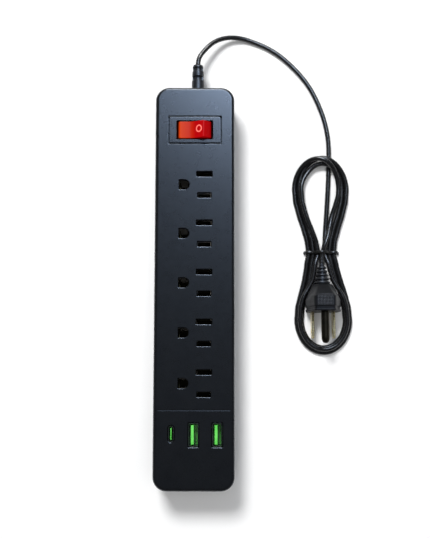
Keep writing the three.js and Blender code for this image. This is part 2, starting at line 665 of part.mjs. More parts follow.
// Two spring leaves that grip a flat blade from its two faces, each with a lip that flares outwards
function bladeClip(y, width) {
  const { baseZ, topZ, halfGap, leaf, flare, lipHeight, overlap } = CLIP;
  const lowX = BLADE_X - width / 2;
  const highX = BLADE_X + width / 2;
  const outer = halfGap + leaf;
  const leaves = [-1, 1].map((side) => {
    const body = blockBetween(lowX, highX, y + side * halfGap, y + side * outer, baseZ, topZ - 1);
    const lipIn = y + side * (outer - overlap);
    const lipOut = y + side * (outer + flare);
    return body.add(blockBetween(lowX, highX, lipIn, lipOut, topZ - lipHeight, topZ));
  });
  const base = block([lowX, y - outer, baseZ], [highX, y + outer, baseZ + STRIP.thickness]);
  return joined(base, ...leaves);
}

function stripBar(x) {
  const half = STRIP.thickness / 2;
  return block([x - half, STRIP_LOW_Y, STRIP.bottomZ], [x + half, STRIP_HIGH_Y, STRIP.topZ]);
}

function bladeStrip(x, side, width) {
  let bar = stripBar(x);
  const armTopZ = STRIP.bottomZ + STRIP.thickness;
  for (const outletY of OUTLET_YS) {
    const y = outletY + (side * BLADE_SPACING) / 2;
    const lowX = Math.min(x, BLADE_X);
    const highX = Math.max(x, BLADE_X);
    const arm = block([lowX, y - STRIP_ARM.blade, STRIP.bottomZ], [highX, y + STRIP_ARM.blade, armTopZ]);
    bar = joined(bar, arm, bladeClip(y, width));
  }
  return bar;
}

function groundStrip() {
  const { halfGap, halfWidth } = GROUND_CLIP;
  const lowX = GROUND_X - halfGap - CLIP.leaf;
  const highX = GROUND_X + halfGap + CLIP.leaf;
  const lowZ = STRIP.bottomZ;
  const armTopZ = lowZ + STRIP.thickness;
  let bar = stripBar(GROUND_STRIP_X);
  for (const y of OUTLET_YS) {
    bar = joined(bar,
      block([GROUND_STRIP_X, y - STRIP_ARM.ground, lowZ], [highX, y + STRIP_ARM.ground, armTopZ]),
      block([lowX, y - halfWidth, lowZ], [lowX + CLIP.leaf, y + halfWidth, CLIP.topZ]),
      block([highX - CLIP.leaf, y - halfWidth, lowZ], [highX, y + halfWidth, CLIP.topZ]));
  }
  return bar;
}

// An insulating plate with ribs between the strips
function contactPlate() {
  const { halfWidth, bottomZ, topZ, endMargin, bossRoom } = CONTACT_PLATE;
  const lowY = STRIP_LOW_Y - endMargin;
  const highY = STRIP_HIGH_Y + endMargin;
  let plate = block([-halfWidth, lowY, bottomZ], [halfWidth, highY, topZ]);
  for (const x of RIB_XS) {
    plate = plate.add(block([x - RIB.halfWidth, lowY, bottomZ], [x + RIB.halfWidth, highY, RIB.topZ]));
  }
  for (const [x, y] of SCREW_PLACES) {
    plate = plate.subtract(postAt(x, y, bossRoom, bottomZ - PAST, RIB.topZ + PAST));
  }
  return plate;
}

addPiece(strip, 'contact_plate', contactPlate(), innerPlastic);
addPiece(strip, 'neutral_contact_strip', bladeStrip(NEUTRAL_STRIP_X, 1, BLADE_CLIP_WIDTHS.neutral), brass);
addPiece(strip, 'line_contact_strip', bladeStrip(LINE_STRIP_X, -1, BLADE_CLIP_WIDTHS.line), brass);
addPiece(strip, 'ground_contact_strip', groundStrip(), brass);

// ---------------------------------------------------------------- USB module

function usbBoard() {
  return block([-USB_BOARD.halfWidth, USB_BOARD.lowY, USB_BOARD.bottomZ],
    [USB_BOARD.halfWidth, USB_BOARD.highY, USB_BOARD.topZ]);
}

// A metal shell, open at the top, made by either of the two outlines
function usbShell(outline, x, { y, width, length, wall }) {
  return without(
    outline(x, y, width, length, USB_SEAT_Z, USB_TOP_Z),
    outline(x, y, width - 2 * wall, length - 2 * wall, USB_SEAT_Z + SHELL_FLOOR, USB_TOP_Z + PAST));
}

// The plastic tongue that carries the contacts, on a base that fills the shell
function usbTongue(outline, x, { y, width, length, wall, tongueX = 0 }, blade) {
  const lowZ = USB_SEAT_Z + SHELL_FLOOR + GAP;
  const room = 2 * (wall + GAP);
  return joined(
    outline(x, y, width - room, length - room, lowZ, lowZ + TONGUE.baseHeight),
    blockAt(x + tongueX, y, blade.thickness, blade.length, lowZ + MERGE, USB_TOP_Z - TONGUE.drop));
}

function capacitor({ x, y, radius, topZ }) {
  return postAt(x, y, radius, USB_SEAT_Z, topZ);
}

function usbTransformer() {
  const { x, y, width, length, topZ } = TRANSFORMER;
  return blockAt(x, y, width, length, USB_SEAT_Z, topZ);
}

function usbPowerChip() {
  const { x, y, width, length, thickness } = POWER_CHIP;
  const topZ = USB_BOARD.bottomZ - GAP;
  return blockAt(x, y, width, length, topZ - thickness, topZ);
}

addPiece(strip, 'usb_board', usbBoard(), boardGreen);
addPiece(strip, 'usb_c_shell', usbShell(stadium, USB_C.x, USB_C), steel);
addPiece(strip, 'usb_c_tongue', usbTongue(stadium, USB_C.x, USB_C, TONGUE.c), greenPlastic);
USB_A.xs.forEach((x, i) => {
  addPiece(strip, `usb_a_shell_${i + 1}`, usbShell(blockAt, x, USB_A), steel);
  addPiece(strip, `usb_a_tongue_${i + 1}`, usbTongue(blockAt, x, USB_A, TONGUE.a), greenPlastic);
});
addPiece(strip, 'usb_transformer', usbTransformer(), ferrite);
addPiece(strip, 'usb_input_capacitor', capacitor(CAPACITORS.input), chipBlack);
addPiece(strip, 'usb_output_capacitor', capacitor(CAPACITORS.output), chipBlack);
addPiece(strip, 'usb_power_chip', usbPowerChip(), chipBlack);

// ---------------------------------------------------------------- wires and clamp inside

// Each wire's colour and the points that it runs through
const WIRES = {
  line_wire: {
    plastic: chipBlack,
    points: [
      [1.4, 101.6, 13.4], [1.4, 101, 12.6], [0.6, 100.7, 9],
      [-1.2, 99.8, 6], [-1.6, 96.4, 5.4], [-1.6, 93, 5.4],
    ],
  },
  switched_line_wire: {
    plastic: chipBlack,
    points: [
      [9.7, 91.5, 5.4], [9.6, 86, 5.4], [4.4, 81, 6.4],
      [0.4, 78, 9.6], [-1.6, 73.8, 11.6], [-1.6, 72, 11.8],
    ],
  },
  neutral_wire: {
    plastic: innerPlastic,
    points: [
      [3.2, 101.9, 11.9], [6, 101.7, 11.4], [12, 101.6, 10.6], [15.4, 98.4, 10.4],
      [15.6, 92, 10.4], [15.4, 84, 10.8], [13.4, 75, 11.6], [13.1, 71.8, 11.8],
    ],
  },
  ground_wire: {
    plastic: greenPlastic,
    points: [
      [-0.4, 101.9, 11.9], [-3, 101.7, 11.4], [-12, 101.6, 10.6], [-15.6, 98.4, 10.4],
      [-15.8, 92, 10.4], [-15.6, 84, 10.8], [-12.4, 75, 11.6], [-12.1, 71.8, 11.8],
    ],
  },
  lamp_wire: {
    plastic: innerPlastic,
    points: [
      [-9.8, 91.5, 5.4], [-10.5, 86.5, 5.6], [-10, 81.5, 8], [-5, 77.5, 12.6],
      [4, 76, 13.7], [10, 74.6, 14], [13, 71.8, 14],
    ],
  },
  usb_neutral_wire: {
    plastic: innerPlastic,
    points: [
      [13.1, -69.9, 11.6], [13.1, -72, 11], [11, -76, 9.4],
      [9, -82, 9.2], [9, -92, 9.4], [9, -96.5, 11.2],
    ],
  },
  usb_line_wire: {
    plastic: chipBlack,
    points: [
      [-1.7, -69.9, 11.6], [-1.8, -72, 11], [-5, -76, 9.4],
      [-10, -84, 9.2], [-10, -92, 9.4], [-10, -96.5, 11.2],
    ],
  },
};

for (const [name, { plastic, points }] of Object.entries(WIRES)) {
  addPiece(strip, name, tube(points, WIRE_RADIUS, WIRE_STEPS, WIRE_SIDES), plastic);
}

function cordInnerEnd() {
  return rodAlongY(CORD_X, CORD_Z, CORD_RADIUS, JACKET_END_Y, RELIEF_INNER_Y - GAP);
}

function cordClamp() {
  const lowZ = CORD_Z + CLAMP.lowRise;
  const highZ = CORD_Z + CLAMP.highRise;
  const bar = blockAt(CORD_X, CLAMP_Y, CLAMP.length, CLAMP.width, lowZ, highZ);
  const groove = rodAlongY(CORD_X, CORD_Z, CORD_RADIUS + GAP, CLAMP_Y - CLAMP.width, CLAMP_Y + CLAMP.width);
  const holes = [-1, 1].map((side) =>
    postAt(CORD_X + side * CLAMP.screwX, CLAMP_Y, CLAMP_SCREW.shank + GAP, lowZ - PAST, highZ + PAST, 16));
  return without(bar, groove, ...holes);
}

function clampScrew(side) {
  const { shank, head, tipZ } = CLAMP_SCREW;
  const headZ = CORD_Z + CLAMP.highRise + GAP;
  const profile = [
    [0, tipZ], [shank, tipZ + 1.2], [shank, headZ], [head, headZ], [head, headZ + 0.8],
    [head - 0.6, headZ + 1.4], [0, headZ + 1.4],
  ];
  return turned(profile, 16).translate([CORD_X + side * CLAMP.screwX, CLAMP_Y, 0]);
}

addPiece(strip, 'cord_inner_end', cordInnerEnd(), blackRubber);
addPiece(strip, 'cord_clamp', cordClamp(), innerPlastic);
[-1, 1].forEach((side, i) => {
  addPiece(strip, `cord_clamp_screw_${i + 1}`, clampScrew(side), steel);
});

// ---------------------------------------------------------------- lead outside

// A flange inside the wall, a neck through it, and three tapering sections outside with grooves between
function strainRelief() {
  const wallInner = HALF_LENGTH - WALL;
  const outside = HALF_LENGTH + GAP;
  const tip = RELIEF_END_Y;
  return turnedAlongY([
    [0, RELIEF_INNER_Y], [RELIEF_FLANGE_RADIUS, RELIEF_INNER_Y], [RELIEF_FLANGE_RADIUS, wallInner - GAP],
    [RELIEF_NECK_RADIUS, wallInner - GAP], [RELIEF_NECK_RADIUS, outside], [3.9, outside],
    [3.75, 127], [2.7, 127.5], [2.7, 129], [3.6, 129.5],
    [3.5, 133], [2.6, 133.5], [2.6, 134.8], [3.3, 135.2],
    [3.2, tip - 0.9], [2.1, tip], [0, tip],
  ], 16).translate([CORD_X, 0, CORD_Z]);
}

function hankOutlinePoints(direction, inward) {
  const centreX = direction > 0 ? HANK_X : HANK_X + LOWER_SHIFT_X;
  const half = LOOP_OUTLINE.map(([distance, width]) => [width - inward, distance]);
  const rx = LOOP_CAP.radiusX - inward;
  const ry = LOOP_CAP.radiusY - inward;
  for (let i = 1; i <= LOOP_CAP_STEPS; i += 1) {
    const angle = (i / LOOP_CAP_STEPS) * (Math.PI / 2);
    half.push([rx * Math.cos(angle), LOOP_CAP.start + ry * Math.sin(angle)]);
  }
  const right = half.map(([width, distance]) => [centreX + width, TIE_Y + direction * distance]);
  const left = half.map(([width, distance]) => [centreX - width, TIE_Y + direction * distance]).reverse();
  return [...right, ...left.slice(1)];
}

function polygon(points) {
  return new THREE.Shape(points.map(([x, y]) => new THREE.Vector2(x, y)));
}

function loopSolid(direction) {
  const outer = extruded(polygon(hankOutlinePoints(direction, 0)), 0, HANK_HEIGHT);
  const innerPoints = hankOutlinePoints(direction, HANK_BUNDLE)
    .filter(([, y]) => Math.abs(y - TIE_Y) > TIE_WAIST.halfLength - PAST);
  return outer.subtract(extruded(polygon(innerPoints), -PAST, HANK_HEIGHT + PAST));
}

// The hank is one solid of the outer shape of its loops, slimmer where the tie grips it
function cordHank() {
  const { halfWidth, height, halfLength, gripMargin } = TIE_WAIST;
  const grip = TIE_BAND.width / 2 + gripMargin;
  const neck = blockAt(HANK_X, TIE_Y, 2 * halfWidth, 2 * halfLength, 0, height);
  const gripCutters = [
    block([HANK_X - FAR, TIE_Y - grip, height], [HANK_X + FAR, TIE_Y + grip, FAR]),
    block([HANK_X - FAR, TIE_Y - grip, -PAST], [HANK_X - halfWidth, TIE_Y + grip, FAR]),
    block([HANK_X + halfWidth, TIE_Y - grip, -PAST], [HANK_X + FAR, TIE_Y + grip, FAR]),
  ];
  const aboveFloor = block([-FAR, -FAR, FLOOR_CLEARANCE], [FAR, FAR, FAR]);
  return without(joined(loopSolid(1), loopSolid(-1), neck), ...gripCutters).intersect(aboveFloor);
}

// A band over the hank's waist and down its two sides
function cordTie() {
  const halfWidth = TIE_WAIST.halfWidth + GAP;
  const highZ = TIE_WAIST.height + GAP;
  const t = TIE_BAND.thickness;
  const band = blockAt(HANK_X, TIE_Y, 2 * (halfWidth + t), TIE_BAND.width, FLOOR_CLEARANCE, highZ + t);
  return band.subtract(blockAt(HANK_X, TIE_Y, 2 * halfWidth, FAR, -PAST, highZ));
}

addPiece(strip, 'strain_relief', strainRelief(), blackRubber);
addPiece(strip, 'cord', tube(CORD_ROUTE, CORD_RADIUS, 56), blackRubber);

// ---------------------------------------------------------------- plug

// The plug is drawn with its face at the origin and its blades along -Y, then turned to where it lies
const plugGroup = new THREE.Group();
plugGroup.position.set(PLUG_X, PLUG_FACE_Y, 0);
plugGroup.rotation.z = PLUG_TURN;
strip.add(plugGroup);

// The body's outline seen from the blades' side: wide at the floor, narrow at the top
function plugSection() {
  const { straightZ, edgeX, edgeZ, bottomChamfer, clearance } = PLUG_FLANK;
  const right = [
    [PLUG_HALF_WIDTH - bottomChamfer, clearance], [PLUG_HALF_WIDTH, clearance + bottomChamfer],
    [PLUG_HALF_WIDTH, straightZ], [PLUG_TOP_HALF_WIDTH + edgeX, PLUG_HEIGHT - edgeZ],
    [PLUG_TOP_HALF_WIDTH, PLUG_HEIGHT],
  ];
  const left = right.map(([x, z]) => [-x, z]).reverse();
  return polygon([...right, ...left]);
}

// A profile drawn in Y and Z, with its thickness along X
function profileAlongX(shape, lowX, highX, curveSegments = 8) {
  const options = { depth: highX - lowX, bevelEnabled: false, curveSegments };
  const geometry = new THREE.ExtrudeGeometry(shape, options);
  geometry.applyMatrix4(new THREE.Matrix4().makeBasis(
    new THREE.Vector3(0, 1, 0), new THREE.Vector3(0, 0, 1), new THREE.Vector3(1, 0, 0)));
  geometry.translate(lowX, 0, 0);
  return solidOf(geometry);
}

function plugBlank() {
  const body = profileAlongY(plugSection(), 0, PLUG_LENGTH);
  const wide = PLUG_HALF_WIDTH + PAST;
  const far = PLUG_LENGTH + PLUG_BACK.beyond;
  // shoulders that narrow towards the cord
  const shoulders = polygon([
    [-wide, -PAST], [wide, -PAST], [wide, PLUG_SHOULDER],
    [PLUG_BACK.halfWidth, far], [-PLUG_BACK.halfWidth, far], [-wide, PLUG_SHOULDER],
  ]);
  // the back slopes down to the cord
  const slope = polygon([
    [PLUG_BACK.slopeStart, PLUG_HEIGHT + PAST], [PLUG_LENGTH + PAST, PLUG_BACK.slopeEndZ],
    [PLUG_LENGTH + PAST, PLUG_HEIGHT + PAST],
  ]);
  return body.intersect(extruded(shoulders, -PAST, PLUG_HEIGHT + PAST))
    .subtract(profileAlongX(slope, -wide, wide));
}

function plugBody() {
  const pocket = BLADE_ROOT + GAP;
  const bladePockets = [[-1, PLUG_NEUTRAL_WIDTH], [1, PLUG_LINE_WIDTH]].map(([side, width]) => {
    const x = (side * BLADE_SPACING) / 2;
    const halfX = BLADE_THICKNESS / 2 + GAP;
    const halfZ = width / 2 + GAP;
    return block([x - halfX, -PAST, BLADE_Z - halfZ], [x + halfX, pocket, BLADE_Z + halfZ]);
  });
  const pinPocket = rodAlongY(0, BLADE_Z + GROUND_PIN_RISE, GROUND_PIN.radius + GAP, -PAST, pocket, 20);
  return without(plugBlank(), ...bladePockets, pinPocket);
}

function plugBlade(side, width) {
  const half = BLADE_THICKNESS / 2;
  const shape = polygon([
    [BLADE_ROOT, -width / 2], [BLADE_ROOT, width / 2], [-BLADE_LENGTH + BLADE_TIP, width / 2],
    [-BLADE_LENGTH, width / 2 - BLADE_TIP], [-BLADE_LENGTH, -width / 2 + BLADE_TIP],
    [-BLADE_LENGTH + BLADE_TIP, -width / 2],
  ]);
  const hole = new THREE.Path();
  hole.absarc(-BLADE_LENGTH + BLADE_HOLE.fromTip, 0, BLADE_HOLE.radius, 0, 2 * Math.PI);
  shape.holes.push(hole);
  const x = (side * BLADE_SPACING) / 2;
  return profileAlongX(shape, x - half, x + half).translate([0, 0, BLADE_Z]);
}

function groundPin() {
  const { radius, length, tip } = GROUND_PIN;
  const profile = [
    [0, -length], [radius * 0.55, -length + 0.3], [radius, -length + tip],
    [radius, BLADE_ROOT], [0, BLADE_ROOT],
  ];
  return turnedAlongY(profile, 20).translate([0, 0, BLADE_Z + GROUND_PIN_RISE]);
}

// Ribs that get smaller towards the cord, with grooves between them
function plugRelief() {
  const { length, rings, radius, ringStep, groove, tipRadius } = PLUG_RELIEF;
  const start = PLUG_LENGTH + GAP;
  const end = PLUG_LENGTH + length;
  const pitch = (end - start) / (rings + 0.5);
  const profile = [[0, start]];
  for (let i = 0; i < rings; i += 1) {
    const y = start + i * pitch;
    const ring = radius - ringStep * i;
    profile.push([ring, y], [ring - 0.1, y + pitch * 0.62], [ring - groove, y + pitch * 0.66],
      [ring - groove, y + pitch * 0.98]);
  }
  profile.push([tipRadius + 0.2, end - pitch * 0.4], [tipRadius, end], [0, end]);
  return turnedAlongY(profile, 12).translate([0, 0, PLUG_CORD_Z]);
}

addPiece(plugGroup, 'plug_body', plugBody(), blackRubber);
addPiece(plugGroup, 'plug_relief', plugRelief(), blackRubber);
addPiece(plugGroup, 'plug_neutral_blade', plugBlade(-1, PLUG_NEUTRAL_WIDTH), brass);
addPiece(plugGroup, 'plug_line_blade', plugBlade(1, PLUG_LINE_WIDTH), brass);
addPiece(plugGroup, 'plug_ground_pin', groundPin(), brass);

// The room that the plug takes inside the hank's lower loop
function plugRoom() {
  const room = GAP + 0.1;
  const wide = PLUG_HALF_WIDTH + room;
  const reliefHalf = PLUG_RELIEF.radius + room;
  const bladesHalf = (BLADE_SPACING + BLADE_THICKNESS) / 2 + room;
  const farEnd = PLUG_LENGTH + PLUG_RELIEF.length + room;
  return joined(
    block([-wide, -room, -PAST], [wide, PLUG_LENGTH + room, FAR]),
    block([-reliefHalf, 0, -PAST], [reliefHalf, farEnd, FAR]),
    block([-bladesHalf, -BLADE_LENGTH - room, -PAST], [bladesHalf, 0, FAR]),
  ).rotate([0, 0, THREE.MathUtils.radToDeg(PLUG_TURN)]).translate([PLUG_X, PLUG_FACE_Y, 0]);
}

addPiece(strip, 'cord_hank', cordHank().subtract(plugRoom()), blackRubber);
addPiece(strip, 'cord_tie', cordTie(), blackRubber);

export default strip;
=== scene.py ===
"""The looks of the power strip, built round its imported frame.

Shapes are drawn in millimetres in the frame's own axes, and scaled to metres when a mesh is made.
"""

import json
import math

import bmesh
import bpy
from mathutils import Matrix, Vector
from mathutils.geometry import delaunay_2d_cdt


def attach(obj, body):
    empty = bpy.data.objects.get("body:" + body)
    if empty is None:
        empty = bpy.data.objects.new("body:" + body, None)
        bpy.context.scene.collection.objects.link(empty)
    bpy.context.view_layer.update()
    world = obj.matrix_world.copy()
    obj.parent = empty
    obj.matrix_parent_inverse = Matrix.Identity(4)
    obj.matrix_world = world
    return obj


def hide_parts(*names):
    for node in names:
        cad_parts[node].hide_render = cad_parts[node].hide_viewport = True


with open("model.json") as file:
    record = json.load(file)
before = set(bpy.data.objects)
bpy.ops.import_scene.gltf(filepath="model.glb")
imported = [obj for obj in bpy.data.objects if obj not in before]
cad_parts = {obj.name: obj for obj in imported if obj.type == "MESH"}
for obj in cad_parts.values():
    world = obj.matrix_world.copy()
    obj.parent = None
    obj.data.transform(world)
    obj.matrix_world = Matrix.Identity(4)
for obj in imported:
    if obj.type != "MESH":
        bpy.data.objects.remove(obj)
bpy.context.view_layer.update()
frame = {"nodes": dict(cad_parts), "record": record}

MM = 0.001

# ---- sizes, in millimetres

HOUSING_WIDTH = 46.8
HOUSING_LENGTH = 236.3
HOUSING_TOP = 28.0
CORNER_RADIUS = 8.0
TOP_FILLET = 2.0
WALL = 2.0
CEILING = 25.6
PARTING = 8.0
GAP = 0.3
EDGE = 0.25
# Flat border kept round an opening, so that the face beside it shades flat
FLAT_RIM = 0.25
FLOOR_TOP = 2.0
LIP_TOP = 10.0
LIP_WIDTH = 1.0
UNDER_CHAMFER = 0.3

OUTLET_YS = [58.95 - 29.05 * i for i in range(5)]
BLADE_X = 5.6
GROUND_X = -6.3
HALF_SPACING = 6.35
NEUTRAL_SLOT = (9.2, 3.0)
LINE_SLOT = (8.1, 2.9)
GROUND_HOLE = (6.0, 5.7)
SLOT_CORNER = 0.35
SLOT_CHAMFER = 0.32
PORT_CHAMFER = 0.4
FILLET_STEPS = 8
CIRCLE_SIDES = 32

STEP_LINE_Y = -72.4
STEP_LINE = (42.1, 1.1)
STEP_LINE_BED = (41.6, 0.36)
STEP_LINE_DEPTH = 0.12

# Screws through the bottom cover, and the bosses that take them: radii and heights
SCREW_PLACES = [(x, y) for y in (-109, 1, 109) for x in (-16.7, 16.7)]
TOP_BOSS = 2.9
TOP_BOSS_END = 6.9
SCREW_HOLE = 1.7
PILOT_END = 19.0
FLOOR_BOSS = 3.38
FLOOR_BOSS_TOP = 6.6
HEAD_RECESS = 2.95
HEAD_SEAT = 4.3
THREAD = (4.8, 15.0)
THREAD_PITCH = 0.7
THREAD_ROOT = 1.15
THREAD_CREST = 1.4

# On the bottom cover's floor: seats of the contact plate, posts of the USB board, and the cord clamp's bosses
SEAT = (24, 2)
SEAT_YS = (-60, -14, 14, 66)
SEAT_TOP = 6.3
POST_PLACES = [(x, y) for x in (-15, 15) for y in (-99, -79)]
POST_RADIUS = 2.4
POST_TOP = 12.5
CLAMP_Y = 107
CLAMP_SPREAD = 5.4
CLAMP_BOSS = 2.6
CLAMP_BOSS_TOP = 11.6
CLAMP_PILOT = 1.4
CLAMP_PILOT_END = 5.0
SADDLE = (4.8, 3)
SADDLE_TOP = 10.75
KEYHOLE = (3.7, 1.9, 7.0)
KEYHOLE_YS = (-80, 80)

# Switch: widths and lengths of its parts and of the recess that it sits in
SWITCH = Vector((-0.1, 92.0, 0.0))
SWITCH_TOP = 28.2
SWITCH_RIM = 26.4
SWITCH_CAVITY_FLOOR = 10.7
SWITCH_BOTTOM = 9.2
SWITCH_RECESS = (31.6, 17.0)
SWITCH_HOLE = (27.0, 14.6)
SWITCH_PAD = (35.6, 20.8)
SWITCH_FLANGE = (30.5, 15.9)
SWITCH_MOUTH = (21.4, 11.1)
SWITCH_CAVITY = (23.8, 11.5)
SWITCH_BODY = (26.4, 14.0)
TERMINAL_SLOT = (1.4, 5.4)
TERMINAL_XS = (-7.8, 0, 7.8)
PAD_BOTTOM = 24.5
PIVOT = (*SWITCH.xy, 21.7)
PRESSED = math.radians(14)
ROCKER_CREST = (7.47, 8.5)
ROCKER_VALLEY = 6.64
ROCKER_WIDTH = 10.1

USB_TOP = 27.6
USB_SEAT = 14.7
USB_SHEET = 0.35
USB_C = (-13.0, -85.8)
USB_C_OPENING = (3.8, 9.6)
USB_C_SHELL = (3.2, 9.0)
USB_C_TONGUE = (0.8, 6.7)
USB_A_XS = (-0.2, 13.4)
USB_A_Y = -86.4
USB_A_OPENING = (6.3, 13.8)
USB_A_SHELL = (5.7, 13.2)
USB_A_TONGUE = (1.8, 11.1)
USB_A_TONGUE_SHIFT = -0.6
TONGUE_TOP = 27.0
TONGUE_ROOT = USB_SEAT + 3.3

CORD_RADIUS = 1.45
CORD_AXIS = (1.4, 12.5)
CORD_CENTRE = (CORD_AXIS[0], 0, CORD_AXIS[1])
LEAD_HOLE, LEAD_HOLE_YS = 3.4, (110.0, 122.0)
FLANGE_ROOM, FLANGE_ROOM_YS = 4.9, (111.5, 116.1)

# Strain relief: where its sections start and end, and their radius there
SLEEVE_START, SLEEVE_END = 118.45, 136.3
SLEEVE_WIDE, SLEEVE_NARROW = 3.9, 3.2

TIE_Y = 21.2
HANK_X = 77.0

# Plug, about the middle of its face: y runs towards its lead
PLUG_PLACE = (77.1, -14.6)
PLUG_TURN = math.radians(0.5)
PLUG_CORD_Z = 5.0
PLUG_HALF_WIDTH = 10.7
PLUG_TOP = 21.5
PLUG_TOP_HALF = 5.6
TAPER_START, TAPER_SLOPE = 7.0, 7.1 / 15
TOP_TAPER_START, TOP_TAPER_SLOPE = 9.0, 0.38
SLOPE_START, TOP_SLOPE = 8.8, 1.25
BLADE_Z = 5.2
NEUTRAL_BLADE = 7.9
LINE_BLADE = 6.35
BLADE_END = -15.9
BLADE_THICKNESS = 1.5
BLADE_HOLE = (-11.5, 1.6)
GROUND_PIN_Z = 17.1
ROOT_DEPTH = 4.0
GRIP_ROWS = 8
GRIP_COLUMNS = 11
GRIP_PITCH = 0.85
GRIP_START = 3.7
RELIEF_START, RELIEF_END = 17.3, 29.4
RIBS = 5


# ---- camera, floor and lights, in metres

def add_object(name, data):
    made = bpy.data.objects.new(name, data)
    bpy.context.scene.collection.objects.link(made)
    return made


def add_camera():
    data = bpy.data.cameras.new("camera")
    data.sensor_fit = "VERTICAL"
    data.sensor_height = 36.0
    data.lens = 60.2
    data.clip_end = 20.0
    camera = add_object("camera", data)
    camera.location = (0.0121, -0.0537, 0.548)
    camera.rotation_euler = (math.radians(6.86), 0.0, math.radians(0.09))
    bpy.context.scene.camera = camera


def add_area_light(name, place, aim, size, power, colour=(1.0, 1.0, 1.0), glossy=False):
    data = bpy.data.lights.new(name, "AREA")
    data.shape = "RECTANGLE"
    data.size, data.size_y = size
    data.energy = power
    data.color = colour
    light = add_object(name, data)
    light.location = place
    direction = Vector(aim) - Vector(place)
    light.rotation_euler = direction.to_track_quat("-Z", "Y").to_euler()
    light.visible_glossy = glossy
    light.visible_diffuse = not glossy


def add_studio():
    world = bpy.data.worlds.new("studio")
    world.use_nodes = True
    background = world.node_tree.nodes["Background"]
    background.inputs["Color"].default_value = (0.95, 0.97, 1.0, 1.0)
    background.inputs["Strength"].default_value = 0.1
    bpy.context.scene.world = world
    bpy.context.scene.view_settings.view_transform = "Standard"
    centre = (0.03, 0.02, 0.0)
    add_area_light("key", (-0.32, 0.76, 1.27), centre, (0.44, 0.44), 23.0)
    add_area_light("overhead", (0.1, -0.3, 1.9), centre, (1.8, 1.8), 12.0)
    add_area_light("fill_right", (1.4, -0.2, 0.5), centre, (0.8, 0.8), 3.0)
    add_area_light("fill_near", (0.0, -1.4, 0.6), centre, (0.9, 0.7), 4.0)
    # softboxes that only show in glossy surfaces
    pale_blue = (0.7, 0.82, 1.0)
    upper_end = (0.0, 0.12, 0.03)
    add_area_light("sheen", (0.18, 0.66, 1.2), upper_end, (0.45, 0.3), 15.5, pale_blue, glossy=True)
    add_area_light("rim", (0.03, 1.15, 0.83), centre, (0.6, 0.2), 18.0, glossy=True)


def add_floor():
    half = 3.0
    mesh = bpy.data.meshes.new("floor")
    corners = [(-half, -half, 0), (half, -half, 0), (half, half, 0), (-half, half, 0)]
    mesh.from_pydata(corners, [], [(0, 1, 2, 3)])
    mesh.materials.append(materials["floor_paper"])
    add_object("floor", mesh)


# ---- materials

class Recipe:
    """A principled material with noise in its colour, roughness and surface.

    An input is given by its name, with _ for a space, and takes a value (three numbers
    for a colour) or another node's output.
    """

    def __init__(self, name):
        self.material = bpy.data.materials.new(name)
        self.material.use_nodes = True
        self.tree = self.material.node_tree
        self.shader = self.tree.nodes["Principled BSDF"]
        self.coordinates = self.node("ShaderNodeTexCoord").outputs["Object"]

    def feed(self, node, inputs):
        for name, value in inputs.items():
            end = node.inputs[name.replace("_", " ")]
            if isinstance(value, bpy.types.NodeSocket):
                self.tree.links.new(value, end)
            else:
                end.default_value = (*value, 1.0) if end.type == "RGBA" else value

    def node(self, kind, **inputs):
        made = self.tree.nodes.new(kind)
        self.feed(made, inputs)
        return made

    def set(self, **inputs):
        self.feed(self.shader, inputs)

    def noise(self, size_mm, detail=3.0, stretch=(1, 1, 1)):
        mapping = self.node("ShaderNodeMapping", Scale=stretch, Vector=self.coordinates)
        noise = self.node("ShaderNodeTexNoise", Scale=1.0 / (size_mm * MM), Detail=detail,
                          Vector=mapping.outputs["Vector"])
        return noise.outputs["Fac"]

    def ranged(self, value, low, high, from_low=0.3, from_high=0.7):
        made = self.node("ShaderNodeMapRange", Value=value, From_Min=from_low, From_Max=from_high,
                         To_Min=low, To_Max=high)
        return made.outputs["Result"]

    def mixed(self, factor, first, second):
        made = self.node("ShaderNodeMix")
        made.data_type = "RGBA"
        self.feed(made, {"Factor": factor, "A": first, "B": second})
        return made.outputs["Result"]

    def patchy(self, size_mm, dark, light):
        """Patches of two close colours."""
        self.set(Base_Color=self.mixed(self.ranged(self.noise(size_mm), 0.0, 1.0), dark, light))

    def bump(self, height, depth_mm):
        made = self.node("ShaderNodeBump", Distance=depth_mm * MM, Height=height)
        self.set(Normal=made.outputs["Normal"])


def surface(name, dark, light, rough=(0.35, 0.5), grain_mm=0.4, depth_mm=0.01, patch_mm=9.0, **settings):
    """A moulded surface: patches of two close colours, uneven gloss, and fine grain."""
    recipe = Recipe(name)
    recipe.patchy(patch_mm, dark, light)
    recipe.set(Roughness=recipe.ranged(recipe.noise(patch_mm * 0.4), *rough), **settings)
    recipe.bump(recipe.noise(grain_mm, 2.0), depth_mm)
    return name, recipe.material


def drawn_metal(name, dark, light, rough, stretch=(1, 1, 12)):
    """Metal with fine lines along one axis."""
    recipe = Recipe(name)
    lines = recipe.noise(1.6, 4.0, stretch)
    recipe.patchy(4.0, dark, light)
    recipe.set(Roughness=recipe.ranged(lines, *rough), Metallic=1.0)
    recipe.bump(lines, 0.004)
    return name, recipe.material


